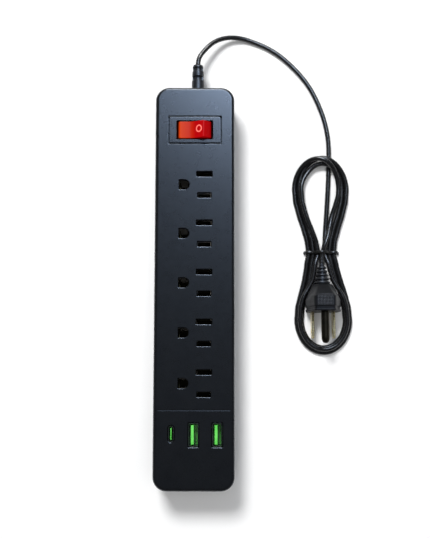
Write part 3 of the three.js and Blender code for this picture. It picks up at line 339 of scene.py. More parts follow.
def lit_red(name):
    """Red plastic that glows, brightest over its pressed end: painted light of the lamp inside shining
    through it, in the glow and in a warmer base colour there. Below the switch's frame its colour and glow
    are darkened to near black: painted shade.
    """
    recipe = Recipe(name)
    split = recipe.node("ShaderNodeSeparateXYZ", Vector=recipe.coordinates)
    near_lamp = recipe.ranged(split.outputs["X"], 1.0, 0.0, -9.5 * MM, 0.5 * MM)
    above_frame = recipe.ranged(split.outputs["Z"], 0.0, 1.0, 27.3 * MM, SWITCH_TOP * MM)
    # Base colour warmer near the lamp: painted lamp light.
    base = recipe.mixed(near_lamp, (0.3, 0.001, 0.002), (0.36, 0.02, 0.001))
    glow = recipe.mixed(near_lamp, (0.34, 0.0, 0.0015), (0.8, 0.09, 0.002))
    # Below the switch's frame the base colour and glow go near black: painted shade.
    recipe.set(Base_Color=recipe.mixed(above_frame, (0.02, 0.0005, 0.0005), base),
               Emission_Color=recipe.mixed(above_frame, (0.004, 0.0, 0.0), glow), Emission_Strength=0.32,
               Roughness=recipe.ranged(recipe.noise(1.2), 0.3, 0.4), IOR=1.5, Specular_IOR_Level=0.08)
    recipe.bump(recipe.noise(0.35, 2.0), 0.008)
    return name, recipe.material


def make_materials():
    """Every material, by its name."""
    black, worn_black = (0.0028, 0.003, 0.0036), (0.004, 0.0043, 0.005)
    # Bluish tints on the plastics' reflections: painted blue of the softbox light that they reflect.
    blue_sheen_tint = (0.78, 0.87, 1.0)
    slate_sheen_tint = (0.8, 0.88, 1.0)
    return dict([
        surface("floor_paper", (0.86, 0.86, 0.86), (0.9, 0.9, 0.9), (0.7, 0.8), 0.8, 0.02, 60.0),
        surface("housing_plastic", black, worn_black, (0.27, 0.29), 0.3, 0.004, Specular_Tint=blue_sheen_tint),
        surface("switch_plastic", black, worn_black, (0.26, 0.3), 0.3, 0.006, Specular_Tint=blue_sheen_tint),
        lit_red("rocker_red"),
        # The 0 mark's faint glow is painted light; the mark is no lamp.
        surface("mark_paint", (0.7, 0.12, 0.1), (0.78, 0.15, 0.12), (0.35, 0.45), 0.3, 0.006,
                Emission_Color=(1.0, 0.16, 0.12), Emission_Strength=0.35),
        surface("white_plastic", (0.2, 0.19, 0.17), (0.27, 0.26, 0.23), (0.6, 0.7)),
        drawn_metal("screw_steel", (0.42, 0.42, 0.43), (0.6, 0.6, 0.61), (0.22, 0.38)),
        drawn_metal("spring_steel", (0.5, 0.5, 0.52), (0.66, 0.66, 0.68), (0.2, 0.3)),
        # Brass darkened nearly to black: painted shade in the outlet slots and ports, where the contacts sit.
        drawn_metal("contact_brass", (0.034, 0.031, 0.018), (0.06, 0.054, 0.032), (0.36, 0.5)),
        surface("lamp_glass", (0.95, 0.35, 0.12), (1.0, 0.5, 0.2), (0.05, 0.12),
                Emission_Color=(1.0, 0.3, 0.06), Emission_Strength=2.0),
        surface("resistor", (0.36, 0.24, 0.14), (0.44, 0.31, 0.19), (0.4, 0.6)),
        surface("circuit_board", (0.012, 0.09, 0.035), (0.018, 0.13, 0.05)),
        # Steel darkened: painted shade inside the USB openings.
        drawn_metal("port_steel", (0.16, 0.16, 0.17), (0.24, 0.24, 0.25), (0.24, 0.36)),
        surface("port_green", (0.06, 0.5, 0.04), (0.16, 0.72, 0.12), (0.3, 0.45), 0.25, 0.008),
        surface("transformer_tape", (0.6, 0.42, 0.06), (0.75, 0.55, 0.1)),
        surface("component_black", (0.01, 0.01, 0.012), (0.02, 0.02, 0.022), (0.4, 0.6)),
        surface("wire_black", (0.008, 0.008, 0.009), (0.014, 0.014, 0.015)),
        surface("wire_white", (0.6, 0.6, 0.58), (0.72, 0.72, 0.7)),
        surface("wire_green", (0.01, 0.16, 0.03), (0.015, 0.22, 0.05)),
        surface("cord_black", (0.0045, 0.0045, 0.005), (0.0065, 0.0065, 0.007), (0.22, 0.3), 0.5,
                0.012, 14.0),
        surface("relief_black", (0.005, 0.005, 0.0055), (0.008, 0.008, 0.009), (0.38, 0.48),
                0.4, 0.015, Specular_Tint=slate_sheen_tint),
        surface("tie_black", (0.006, 0.006, 0.006), (0.01, 0.01, 0.01), (0.25, 0.35)),
        surface("plug_black", (0.005, 0.0052, 0.006), (0.008, 0.0082, 0.0095), (0.34, 0.46),
                0.35, 0.015, IOR=1.3, Specular_IOR_Level=0.3, Specular_Tint=slate_sheen_tint),
        # The grip's studs are a lighter, bluer copy of the plug's black: painted sheen on the plug's top.
        surface("grip_black", (0.035, 0.036, 0.04), (0.05, 0.052, 0.058), (0.3, 0.4), 0.3, 0.01,
                Specular_Tint=slate_sheen_tint),
        drawn_metal("blade_brass", (0.66, 0.55, 0.3), (0.8, 0.72, 0.46), (0.2, 0.34), (1, 12, 1)),
        drawn_metal("pin_brass", (0.02, 0.018, 0.014), (0.04, 0.034, 0.024), (0.3, 0.45), (1, 12, 1)),
    ])


# ---- mesh helpers

class Shell:
    """Collects the points, in millimetres, and the faces of one piece."""

    def __init__(self):
        self.points = []
        self.faces = []

    def ring(self, points):
        first = len(self.points)
        self.points.extend(Vector(point) for point in points)
        return list(range(first, len(self.points)))

    def level(self, outline, z):
        return self.ring([(x, y, z) for x, y in outline])

    def bridge(self, first, second):
        count = len(first)
        for i in range(count):
            j = (i + 1) % count
            self.faces.append((first[i], first[j], second[j], second[i]))

    def tunnel(self, rings):
        for first, second in zip(rings, rings[1:]):
            self.bridge(first, second)

    def cap(self, ring):
        self.faces.append(tuple(ring))

    def tube(self, rings):
        """A closed body through rings, with both ends capped."""
        self.tunnel(rings)
        self.cap(rings[0])
        self.cap(rings[-1])

    def sheath(self, outline, steps):
        """Level rings of an outline, one for each (growth, z), joined in order."""
        rings = [self.level(outline(grow), z) for grow, z in steps]
        self.tunnel(rings)
        return rings

    def walls(self, outline, *heights):
        """Upright walls of an outline through two or more heights."""
        return self.sheath(outline, [(0, z) for z in heights])

    def pillar(self, outline, low, high):
        """A solid pillar. Gives the ring at its foot."""
        foot, head = self.walls(outline, low, high)
        self.cap(head)
        return foot

    def boss(self, place, radius, low, high, pilot, depth):
        """A round boss with a blind hole in its head. Gives the ring at its foot."""
        foot, head = self.walls(circle(place, radius), low, high)
        mouth, end = self.walls(circle(place, pilot), high, depth)
        self.plate(head, [mouth])
        self.cap(end)
        return foot

    def plate(self, outer, holes):
        """The flat face between one level ring and the holes in it."""
        members = [outer, *holes]
        flat, edges, faces = [], [], []
        for ring in members:
            start = len(flat)
            count = len(ring)
            flat.extend(Vector(self.points[i][:2]) for i in ring)
            edges.extend((start + i, start + (i + 1) % count) for i in range(count))
            faces.append(list(range(start, start + count)))
        source = [i for ring in members for i in ring]
        found = delaunay_2d_cdt(flat, edges, faces, 0, 1e-7)
        triangles, from_points, from_faces = found[2], found[3], found[5]
        for triangle, origin in zip(triangles, from_faces):
            if list(origin) == [0]:
                self.faces.append(tuple(source[from_points[i][0]] for i in triangle))

    def add(self, other):
        first = len(self.points)
        self.points.extend(other.points)
        self.faces.extend(tuple(i + first for i in face) for face in other.faces)

    def place(self, matrix):
        self.points = [matrix @ point for point in self.points]
        return self


def smooth_step(value):
    value = max(0.0, min(1.0, value))
    return value * value * (3 - 2 * value)


def arc(centre, radius, start, end, steps):
    """Points on an arc between two angles in degrees, both ends included."""
    angles = [math.radians(start + (end - start) * i / steps) for i in range(steps + 1)]
    return [(centre[0] + radius * math.cos(a), centre[1] + radius * math.sin(a)) for a in angles]


# Each of the next four gives a closed outline as a function of how much it is grown

def box(place, size, radius, steps=6):
    """A rectangle with round corners about a place."""
    x, y = place
    dx, dy = size[0] / 2 - radius, size[1] / 2 - radius

    def outline(grow):
        points = []
        for cx, cy, start in ((dx, -dy, -90), (dx, dy, 0), (-dx, dy, 90), (-dx, -dy, 180)):
            points.extend(arc((x + cx, y + cy), radius + grow, start, start + 90, steps))
        return points

    return outline


def circle(place, radius):
    steps = CIRCLE_SIDES - 1
    return lambda grow: arc(place, radius + grow, 0, 360 * steps / CIRCLE_SIDES, steps)


def ground_hole(place):
    """Round at the right and flat at the left."""
    x, y = place
    width, height = GROUND_HOLE
    radius = height / 2
    left, rise = x - width / 2 + SLOT_CORNER, radius - SLOT_CORNER

    def outline(grow):
        points = arc((x + width / 2 - radius, y), radius + grow, -90, 90, 16)
        points += arc((left, y + rise), SLOT_CORNER + grow, 90, 180, 4)
        points += arc((left, y - rise), SLOT_CORNER + grow, 180, 270, 4)
        return points

    return outline


def keyhole(y):
    """A round head hole that runs into a narrow slot towards +Y."""
    head, neck, run = KEYHOLE

    def outline(grow):
        meet = math.degrees(math.asin((neck + grow) / (head + grow)))
        points = arc((0, y), head + grow, 90 + meet, 450 - meet, 28)
        points += arc((0, y + run), neck + grow, 0, 180, 10)
        return points

    return outline


def housing_skin(shell, skin):
    """Rings round the housing from (inset, z) pairs, joined in order."""
    outline = box((0, 0), (HOUSING_WIDTH, HOUSING_LENGTH), CORNER_RADIUS, 12)
    return shell.sheath(outline, [(-inset, z) for inset, z in skin])


def mirrored(points):
    """The other half of an outline that goes over from +X to -X."""
    return [(-x, z) for x, z in reversed(points)]


def soften(points, cuts):
    """Rounds the corners of a closed outline, each with a curve that starts a cut away from it."""
    rounded = []
    count = len(points)
    steps = 4
    for i, (point, cut) in enumerate(zip(points, cuts)):
        corner = Vector(point)
        before = Vector(points[i - 1]) - corner
        after = Vector(points[(i + 1) % count]) - corner
        start = corner + before.normalized() * min(cut, before.length * 0.45)
        end = corner + after.normalized() * min(cut, after.length * 0.45)
        for k in range(steps + 1):
            t = k / steps
            rounded.append(start * (1 - t) ** 2 + corner * 2 * t * (1 - t) + end * t * t)
    return rounded


def block(low, high):
    shell = Shell()
    (x1, y1, z1), (x2, y2, z2) = low, high
    outline = [(x1, y1), (x2, y1), (x2, y2), (x1, y2)]
    shell.tube([shell.level(outline, z) for z in (z1, z2)])
    return shell


def revolve(profile, centre, axis, sides=48, spread=None):
    """A body turned about Y or Z from (radius, distance) pairs. Spread changes the radius by the angle."""
    shell = Shell()
    along = {"Y": Vector((0, 1, 0)), "Z": Vector((0, 0, 1))}[axis]
    side = Vector((1, 0, 0))
    up = along.cross(side)
    rings = []
    for radius, distance in profile:
        ring = []
        for i in range(sides):
            angle = 2 * math.pi * i / sides
            reach = spread(radius, distance, angle) if spread else radius
            outward = side * math.cos(angle) + up * math.sin(angle)
            ring.append(Vector(centre) + along * distance + outward * reach)
        rings.append(shell.ring(ring))
    shell.tunnel(rings)
    for end in (0, -1):
        if profile[end][0] > 0:
            shell.cap(rings[end])
    return shell


def raw_mesh(shell, name):
    mesh = bpy.data.meshes.new(name)
    mesh.from_pydata([point * MM for point in shell.points], [], shell.faces)
    work = bmesh.new()
    work.from_mesh(mesh)
    bmesh.ops.remove_doubles(work, verts=work.verts, dist=2e-7)
    bmesh.ops.recalc_face_normals(work, faces=work.faces)
    work.to_mesh(mesh)
    work.free()
    return mesh


def combined(mesh, shells, operation="DIFFERENCE"):
    """The mesh with closed shells cut out of it, or joined to it."""
    base = add_object("base", mesh)
    helpers = [base]
    for shell in shells:
        helpers.append(add_object("other", raw_mesh(shell, "other")))
        step = base.modifiers.new("step", "BOOLEAN")
        step.operation = operation
        step.object = helpers[-1]
        step.solver = "EXACT"
    graph = bpy.context.evaluated_depsgraph_get()
    result = bpy.data.meshes.new_from_object(base.evaluated_get(graph))
    for helper in helpers:
        bpy.data.objects.remove(helper)
    return result


def place_piece(name, data, material, slot=None, body="housing", replaces=()):
    """Puts a mesh or curve in the scene, on its body and in place of its CAD nodes.

    The slot is not used.
    """
    piece = add_object(name, data)
    data.materials.append(materials[material])
    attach(piece, body)
    slot or material
    if replaces:
        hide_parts(*replaces)
    return piece


def add_mesh(mesh, name, material, sharp=35.0, **settings):
    mesh.materials.clear()
    mesh.name = name
    mesh.shade_smooth()
    mesh.set_sharp_from_angle(angle=math.radians(sharp))
    piece = place_piece(name, mesh, material, **settings)
    weighted = piece.modifiers.new("weighted", "WEIGHTED_NORMAL")
    weighted.keep_sharp = True
    return piece


def add_shell(shell, name, material, cuts=(), **settings):
    mesh = raw_mesh(shell, name)
    if cuts:
        mesh = combined(mesh, cuts)
    return add_mesh(mesh, name, material, **settings)


# ---- the lead

CORD_ROUTE = [
    (1.4, 137.6, 12.5), (1.6, 140.2, 12.3), (2.6, 143.2, 11.7), (4.9, 146.8, 10.6),
    (7.9, 150.6, 9.3), (11.5, 153.9, 7.8), (15.8, 156.4, 6.2), (20.4, 157.8, 4.7),
    (25.4, 158.2, 3.4), (31.0, 157.5, 2.3), (37.6, 155.3, 1.7), (44.6, 152.2, 1.5),
    (51.8, 147.6, 1.5), (58.9, 141.4, 1.5), (65.8, 133.9, 1.5), (71.7, 125.4, 1.5),
    (76.4, 115.6, 1.5), (79.8, 105.8, 1.5), (81.8, 96.2, 1.5), (82.5, 86.6, 1.5),
]
# Under the upper end of the hank, down inside its upper loop and to the tie
INTO_HANK = [
    (82.3, 77.0, 1.5), (82.0, 69.0, 1.5), (81.6, 61.0, 1.5), (81.0, 52.0, 1.5),
    (80.3, 43.0, 1.5), (79.6, 34.0, 1.7), (79.15, 27.0, 2.3),
]
# From the upper loop's right side over the other strands to the tie, and into the plug
OUT_OF_HANK = [
    (85.9, 51.2, 3.0), (83.9, 45.2, 2.6), (82.5, 39.4, 3.0), (81.4, 34.0, 4.2), (79.9, 29.2, 5.1),
    (78.5, 25.2, 5.3), (77.5, 21.2, 4.8), (77.0, 18.0, 4.8), (76.85, 15.0, 5.0), (76.85, 12.0, 5.0),
]
# Half the hank's outer width at distances from the tie, then the start and the two radii of its round ends
LOOP_WIDTHS = [(0, 10.2), (8, 10.8), (16, 12.5), (24, 14.8), (32, 16.9), (40, 17.6)]
CAP_START = 40.0
CAP_X = 17.6
CAP_Y = 21.4
LOWER_SHIFT = 0.8
SIDE_STEP = 2.0
CAP_STEPS = 24
# Distance from the loop's edge and height of four places in the bundle, from the outside in
AT_TIE = [(2.4, 1.45), (5.3, 1.45), (8.1, 2.6), (8.1, 2.6)]
AT_SIDE = [(1.45, 1.45), (4.35, 1.45), (5.6, 4.05), (6.6, 3.3)]
AT_END = [(1.45, 1.45), (4.35, 1.45), (7.25, 1.45), (7.25, 1.45)]
# The same in the lower loop: beside the plug's relief, and on from the plug's shoulders round the end
AT_RELIEF = [(1.45, 1.45), (4.35, 1.45), (6.4, 3.5)]
AT_PLUG = [(1.45, 1.45), (4.35, 1.45), (3.2, 4.1)]
# The upper end rises over the lead that comes in under it
HUMP_X = 82.0
HUMP_HALF = 22.0
HUMP_HEIGHT = 2.9


def mixed_pair(first, second, share):
    return tuple(a + (b - a) * share for a, b in zip(first, second))


def outline_width(distance):
    """Half the loop's outer width at a distance from the tie."""
    knots = [LOOP_WIDTHS[0], *LOOP_WIDTHS, (48, 17.2)]
    for i in range(1, len(knots) - 2):
        (d1, w1), (d2, w2) = knots[i], knots[i + 1]
        if distance <= d2:
            t = (distance - d1) / (d2 - d1)
            before = w1 - knots[i - 1][1]
            after = knots[i + 2][1] - w2
            eased = 3 * t * t - 2 * t ** 3
            return w1 + (w2 - w1) * t + (t - eased) * (before - after) / 6
    return LOOP_WIDTHS[-1][1]


def side_point(direction, side, place, distance):
    """A strand on one side of a loop."""
    if direction > 0:
        inset, z = mixed_pair(AT_TIE[place], AT_SIDE[place], smooth_step((distance - 1) / 23))
        shift = 0.0
    else:
        beside = mixed_pair(AT_TIE[place], AT_RELIEF[place], smooth_step((distance + 1) / 9))
        inset, z = mixed_pair(beside, AT_PLUG[place], smooth_step((distance - 14) / 15))
        shift = LOWER_SHIFT * smooth_step(distance / 24)
    x = HANK_X + shift + side * (outline_width(distance) - inset)
    return Vector((x, TIE_Y + direction * distance, z))


def loop_turn(direction, side, first, last, stop=0.0, parting=0.0, overpass=0.0, moving=(0.15, 0.85)):
    """One turn of the hank, from one side's place in the bundle round the end to the other side's.

    It changes places over the moving part of the end, goes in by the parting at the end's start, and
    rises over the other strands by the overpass.
    """
    count = int(CAP_START / SIDE_STEP)
    shift = 0.0 if direction > 0 else LOWER_SHIFT
    sides, ends = (AT_SIDE, AT_END) if direction > 0 else (AT_PLUG, AT_PLUG)
    points = [side_point(direction, side, first, i * SIDE_STEP) for i in range(count)]
    for i in range(CAP_STEPS + 1):
        part = i / CAP_STEPS
        angle = math.pi * part
        eased = smooth_step((part - moving[0]) / (moving[1] - moving[0]))
        beside = mixed_pair(sides[first], sides[last], eased)
        round_end = mixed_pair(ends[first], ends[last], eased)
        inset, z = mixed_pair(round_end, beside, math.cos(angle) ** 2)
        inset += parting * math.sin(math.pi * min(1.0, part / 0.45)) ** 2
        z += overpass * math.sin(angle) ** 2
        x = HANK_X + shift + side * (CAP_X - inset) * math.cos(angle)
        y = TIE_Y + direction * (CAP_START + (CAP_Y - inset) * math.sin(angle))
        if direction > 0 and abs(x - HUMP_X) < HUMP_HALF:
            z += HUMP_HEIGHT * math.cos(math.pi / 2 * (x - HUMP_X) / HUMP_HALF) ** 2 * math.sin(angle) ** 2
        points.append(Vector((x, y, z)))
    for i in range(count - 1, -1, -1):
        if i * SIDE_STEP >= stop:
            points.append(side_point(direction, -side, last, i * SIDE_STEP))
    return points


def through(points, step=1.0):
    """A smooth line through points, resampled about a step apart."""
    points = [Vector(point) for point in points]
    padded = [points[0] * 2 - points[1], *points, points[-1] * 2 - points[-2]]
    line = []
    for before, start, end, after in zip(padded, padded[1:], padded[2:], padded[3:]):
        pieces = max(1, round((end - start).length / step))
        for i in range(pieces):
            t = i / pieces
            line.append(0.5 * (2 * start + (end - before) * t
                               + (2 * before - 5 * start + 4 * end - after) * t ** 2
                               + (3 * start - before - 3 * end + after) * t ** 3))
    line.append(points[-1])
    return line


def lead_route():
    right, left = 1, -1
    points = [Vector(point) for point in CORD_ROUTE + INTO_HANK]
    points += loop_turn(-1, right, 2, 2)
    points += loop_turn(1, left, 2, 1, parting=0.4, moving=(0, 0.85))[1:]
    points += loop_turn(-1, right, 1, 1)[1:]
    points += loop_turn(1, left, 1, 0, moving=(0.05, 0.6))[1:]
    points += loop_turn(-1, right, 0, 0)[1:]
    points += loop_turn(1, left, 0, 3, stop=36.0, overpass=3.4, moving=(0.25, 1))[1:]
    points += [Vector(point) for point in OUT_OF_HANK]
    return through(points)


def add_cord():
    line = lead_route()
    curve = bpy.data.curves.new("cord_lead", "CURVE")
    curve.dimensions = "3D"
    spline = curve.splines.new("POLY")
    spline.points.add(len(line) - 1)
    for knot, point in zip(spline.points, line):
        knot.co = (*(point * MM), 1.0)
    curve.bevel_depth = CORD_RADIUS * MM
    curve.bevel_resolution = 5
    curve.use_fill_caps = True
    return place_piece("cord_lead", curve, "cord_black", replaces=["cord", "cord_hank"])


# ---- covers

def top_openings():
    """The outline of each opening through the top, and its edge's chamfer."""
    for y in OUTLET_YS:
        for side, slot in ((1, NEUTRAL_SLOT), (-1, LINE_SLOT)):
            yield box((BLADE_X, y + side * HALF_SPACING), slot, SLOT_CORNER), SLOT_CHAMFER
        yield ground_hole((GROUND_X, y)), SLOT_CHAMFER
    yield box(USB_C, USB_C_OPENING, USB_C_OPENING[0] / 2 - 0.02), PORT_CHAMFER
    for x in USB_A_XS:
        yield box((x, USB_A_Y), USB_A_OPENING, 0.5), PORT_CHAMFER


def add_step_line(shell):
    """A fine groove. It is steep towards the outlets, and its other side is a shallow slope."""
    edge = box((0, STEP_LINE_Y - 0.05), STEP_LINE, 0.2)
    bed = box((0, STEP_LINE_Y + 0.22), STEP_LINE_BED, 0.1)
    rings = [shell.level(edge(0.15), HOUSING_TOP), shell.level(edge(0), HOUSING_TOP),
             shell.level(bed(0), HOUSING_TOP - STEP_LINE_DEPTH)]
    shell.tunnel(rings)
    shell.cap(rings[-1])
    return rings[0]


def add_switch_recess(shell):
    """The recess, its ledge, and the pad below it round the switch's body."""
    place = SWITCH.xy
    ledge_z = SWITCH_RIM - GAP
    edge = 0.1
    recess = shell.sheath(box(place, SWITCH_RECESS, 0.6), [
        (edge + FLAT_RIM, HOUSING_TOP), (edge, HOUSING_TOP), (0, HOUSING_TOP - edge), (0, ledge_z)])
    body_hole = shell.walls(box(place, SWITCH_HOLE, 0.4), ledge_z, PAD_BOTTOM)
    pad = shell.walls(box(place, SWITCH_PAD, 0.8), CEILING, PAD_BOTTOM)
    shell.plate(recess[-1], [body_hole[0]])
    shell.plate(pad[-1], [body_hole[-1]])
    return recess[0], pad[0]


def add_top_cover():
    shell = Shell()
    rim = PARTING + GAP / 2
    skin = [(EDGE, rim), (0, rim + EDGE)]
    for i in range(FILLET_STEPS + 1):
        angle = math.pi / 2 * i / FILLET_STEPS
        skin.append((TOP_FILLET * (1 - math.cos(angle)), HOUSING_TOP - TOP_FILLET * (1 - math.sin(angle))))
    skin.append((TOP_FILLET + 0.08, HOUSING_TOP))
    outer = housing_skin(shell, skin)
    inner = housing_skin(shell, [(WALL, CEILING), (WALL, rim)])
    shell.bridge(inner[-1], outer[0])
    face_holes, ceiling_holes = [], []
    for outline, chamfer in top_openings():
        rings = shell.sheath(outline, [
            (chamfer + FLAT_RIM, HOUSING_TOP), (chamfer, HOUSING_TOP),
            (chamfer * 0.3, HOUSING_TOP - chamfer * 0.35), (0, HOUSING_TOP - chamfer), (0, CEILING)])
        face_holes.append(rings[0])
        ceiling_holes.append(rings[-1])
    step_line = add_step_line(shell)
    recess, pad = add_switch_recess(shell)
    bosses = [shell.boss(place, TOP_BOSS, CEILING, TOP_BOSS_END, SCREW_HOLE, PILOT_END)
              for place in SCREW_PLACES]
    shell.plate(outer[-1], [*face_holes, step_line, recess])
    shell.plate(inner[0], [*ceiling_holes, pad, *bosses])
    lead_hole = revolve([(LEAD_HOLE, y) for y in LEAD_HOLE_YS], CORD_CENTRE, "Y")
    add_shell(shell, "top_shell", "housing_plastic", [lead_hole], replaces=["top_cover"], sharp=50.0)


def add_floor_fittings(shell):
    """What stands on the bottom cover's floor. Gives the rings where it meets the floor."""
    feet = [shell.pillar(box((0, y), SEAT, 0.2), FLOOR_TOP, SEAT_TOP) for y in SEAT_YS]
    feet += [shell.pillar(circle(place, POST_RADIUS), FLOOR_TOP, POST_TOP) for place in POST_PLACES]
    for side in (-1, 1):
        place = (CORD_AXIS[0] + side * CLAMP_SPREAD, CLAMP_Y)
        feet.append(shell.boss(place, CLAMP_BOSS, FLOOR_TOP, CLAMP_BOSS_TOP, CLAMP_PILOT, CLAMP_PILOT_END))
    feet.append(shell.pillar(box((CORD_AXIS[0], CLAMP_Y), SADDLE, 0.3), FLOOR_TOP, SADDLE_TOP))
    return feet


def add_screw_well(shell, place):
    """A boss with the hole for a screw's shank, and the recess for its head below."""
    boss = shell.walls(circle(place, FLOOR_BOSS), FLOOR_TOP, FLOOR_BOSS_TOP)
    shank = shell.walls(circle(place, SCREW_HOLE), FLOOR_BOSS_TOP, HEAD_SEAT)
    recess = shell.sheath(circle(place, HEAD_RECESS),
                          [(0, HEAD_SEAT), (0, UNDER_CHAMFER), (UNDER_CHAMFER, 0)])
    shell.plate(boss[-1], [shank[0]])
    shell.plate(recess[0], [shank[-1]])
    return boss[0], recess[-1]


def add_keyhole(shell, y):
    rings = shell.sheath(keyhole(y), [(0, FLOOR_TOP), (0, UNDER_CHAMFER), (UNDER_CHAMFER, 0)])
    return rings[0], rings[-1]


def add_bottom_cover():
    shell = Shell()
    rim = PARTING - GAP / 2
    outer = housing_skin(shell, [(0.7, 0), (0.35, 0.08), (0.1, 0.3), (0, 0.7), (0, rim - EDGE), (EDGE, rim)])
    near, far = WALL + GAP, WALL + GAP + LIP_WIDTH
    lip = housing_skin(shell, [(near, rim), (near, LIP_TOP - 0.2), (near + 0.2, LIP_TOP),
                               (far - 0.2, LIP_TOP), (far, LIP_TOP - 0.2), (far, FLOOR_TOP)])
    shell.bridge(outer[-1], lip[0])
    feet = add_floor_fittings(shell)
    wells = [add_screw_well(shell, place) for place in SCREW_PLACES]
    wells += [add_keyhole(shell, y) for y in KEYHOLE_YS]
    shell.plate(lip[-1], feet + [above for above, below in wells])
    shell.plate(outer[0], [below for above, below in wells])
    flange_room = revolve([(FLANGE_ROOM, y) for y in FLANGE_ROOM_YS], CORD_CENTRE, "Y")
    add_shell(shell, "bottom_shell", "housing_plastic", [flange_room], replaces=["bottom_cover"],
              sharp=50.0)


def add_cover_screws():
    profile = [(0, 2.2), (1.7, 2.2), (2.3, 2.5), (2.6, 3.0), (2.6, 3.85), (2.45, 4.0), (THREAD_CREST, 4.0)]
    z, thread_end = THREAD
    while z < thread_end:
        profile += [(THREAD_ROOT, z), (THREAD_CREST, z + THREAD_PITCH * 0.4),
                    (THREAD_ROOT, z + THREAD_PITCH * 0.8)]
        z += THREAD_PITCH
    profile += [(0.9, 15.8), (0, 17.0)]
    arm, half = 1.3, 0.35
    cross = [block((-x, -y, 1), (x, y, 3.1)) for x, y in ((arm, half), (half, arm))]
    screw = combined(raw_mesh(revolve(profile, (0, 0, 0), "Z", 28), "screw"), cross)
    for i, (x, y) in enumerate(SCREW_PLACES, 1):
        mesh = screw.copy()
        mesh.transform(Matrix.Translation((x * MM, y * MM, 0)))
        add_mesh(mesh, f"lid_screw_{i}", "screw_steel", replaces=[f"cover_screw_{i}"])


# ---- switch

def add_switch_frame():
    shell = Shell()
    centre = (0, 0)
    edge = 0.25
    flange = shell.sheath(box(centre, SWITCH_FLANGE, 0.6), [
        (0, SWITCH_RIM), (0, SWITCH_TOP - 0.2), (-0.06, SWITCH_TOP - 0.06), (-0.2, SWITCH_TOP),
        (-0.2 - FLAT_RIM, SWITCH_TOP)])
    mouth = shell.sheath(box(centre, SWITCH_MOUTH, 0.4), [
        (edge + FLAT_RIM, SWITCH_TOP), (edge, SWITCH_TOP), (0, SWITCH_TOP - edge), (0, SWITCH_RIM)])
    cavity = shell.walls(box(centre, SWITCH_CAVITY, 0.4), SWITCH_RIM, SWITCH_CAVITY_FLOOR)
    outside = shell.sheath(box(centre, SWITCH_BODY, 0.6), [
        (0, SWITCH_RIM), (0, SWITCH_BOTTOM + 0.4), (-0.4, SWITCH_BOTTOM)])
    slots = [shell.walls(box((x, 0), TERMINAL_SLOT, 0.1), SWITCH_CAVITY_FLOOR, SWITCH_BOTTOM)
             for x in TERMINAL_XS]
    shell.plate(flange[-1], [mouth[0]])
    shell.plate(cavity[0], [mouth[-1]])
    shell.plate(flange[0], [outside[0]])
    shell.plate(cavity[-1], [slot[0] for slot in slots])
    shell.plate(outside[-1], [slot[-1] for slot in slots])
    shell.place(Matrix.Translation(SWITCH))
    pivot_hole = revolve([(1.8, -9), (1.8, 9)], PIVOT, "Y")
    add_shell(shell, "switch_frame", "switch_plastic", [pivot_hole], replaces=["switch_housing"])


def rocker_outline():
    """The rocker from its side: two crests, a shallow valley and round ends."""
    crest_x, crest_z = ROCKER_CREST
    radius = math.hypot(crest_x, crest_z)
    crest_angle = math.degrees(math.atan2(crest_z, crest_x))
    right = [(crest_x, crest_z)] + arc((0, 0), radius, crest_angle - 8, 8, 5) + [(radius - 2.2, -1.2)]
    cuts = [0.7] + [0.6] * 6 + [0.5]
    return soften([(0, ROCKER_VALLEY), *right, *mirrored(right)], [1.6, *cuts, *reversed(cuts)])


ROCKER_MATRIX = Matrix.Translation(PIVOT) @ Matrix.Rotation(-PRESSED, 4, "Y")


def add_rocker():
    """The lens, drawn about its pivot: hollow below, with a web, a post for the plunger and two pins."""
    outline = rocker_outline()
    half = ROCKER_WIDTH / 2
    edge = [(0, 0.95), (0.12, 0.98), (0.4, 1.0)]
    sections = [(-half + depth, size) for depth, size in edge]
    sections += [(half - depth, size) for depth, size in reversed(edge)]
    middle_z = 4.0
    shell = Shell()
    shell.tube([shell.ring([(x * size, y, middle_z + (z - middle_z) * size) for x, z in outline])
                for y, size in sections])
    pivot = (0, 0, 0)
    hollow = block((-6.9, -3.85, -2.0), (6.9, 3.85, 5.2))
    web = block((-2.2, -4.6, -1.2), (2.2, 4.6, 5.6))
    post = revolve([(2.3, -5.0), (2.6, -4.7), (2.6, 5.8)], pivot, "Z")
    pins = revolve([(1.2, -6.5), (1.5, -6.2), (1.5, 6.2), (1.2, 6.5)], pivot, "Y")
    bore = revolve([(1.5, -9.0), (1.5, 3.0)], pivot, "Z")
    for part in (shell, hollow, web, post, pins, bore):
        part.place(ROCKER_MATRIX)
    mesh = combined(raw_mesh(shell, "rocker_lens"), [hollow])
    mesh = combined(mesh, [web, post, pins], "UNION")
    mesh = combined(mesh, [bore])
    add_mesh(mesh, "rocker_lens", "rocker_red", body="rocker", replaces=["switch_rocker"])


def add_zero_mark():
    """The raised 0 on the rocker's raised half."""
    along = Vector((ROCKER_CREST[0], 0, ROCKER_CREST[1] - ROCKER_VALLEY)).normalized()
    normal = Vector((-along.z, 0, along.x))
    centre = Vector((0, 0.3, ROCKER_VALLEY)) + along * 4.6
    points = 40
    shell = Shell()
    rings = []
    for half_u, half_v, rise in ((2.02, 2.3, -0.1), (2.0, 2.28, 0.03), (1.9, 2.18, 0.06), (1.38, 1.62, 0.06),
                                 (1.28, 1.52, 0.03), (1.26, 1.5, -0.1)):
        ring = []
        for i in range(points):
            angle = 2 * math.pi * i / points
            across = Vector((0, half_v * math.sin(angle), 0))
            ring.append(centre + along * half_u * math.cos(angle) + across + normal * rise)
        rings.append(shell.ring(ring))
    shell.tunnel([*rings, rings[0]])
    shell.place(ROCKER_MATRIX)
    add_shell(shell, "zero_mark", "mark_paint", slot="rocker_red", body="rocker", sharp=60.0)


# ---- USB ports

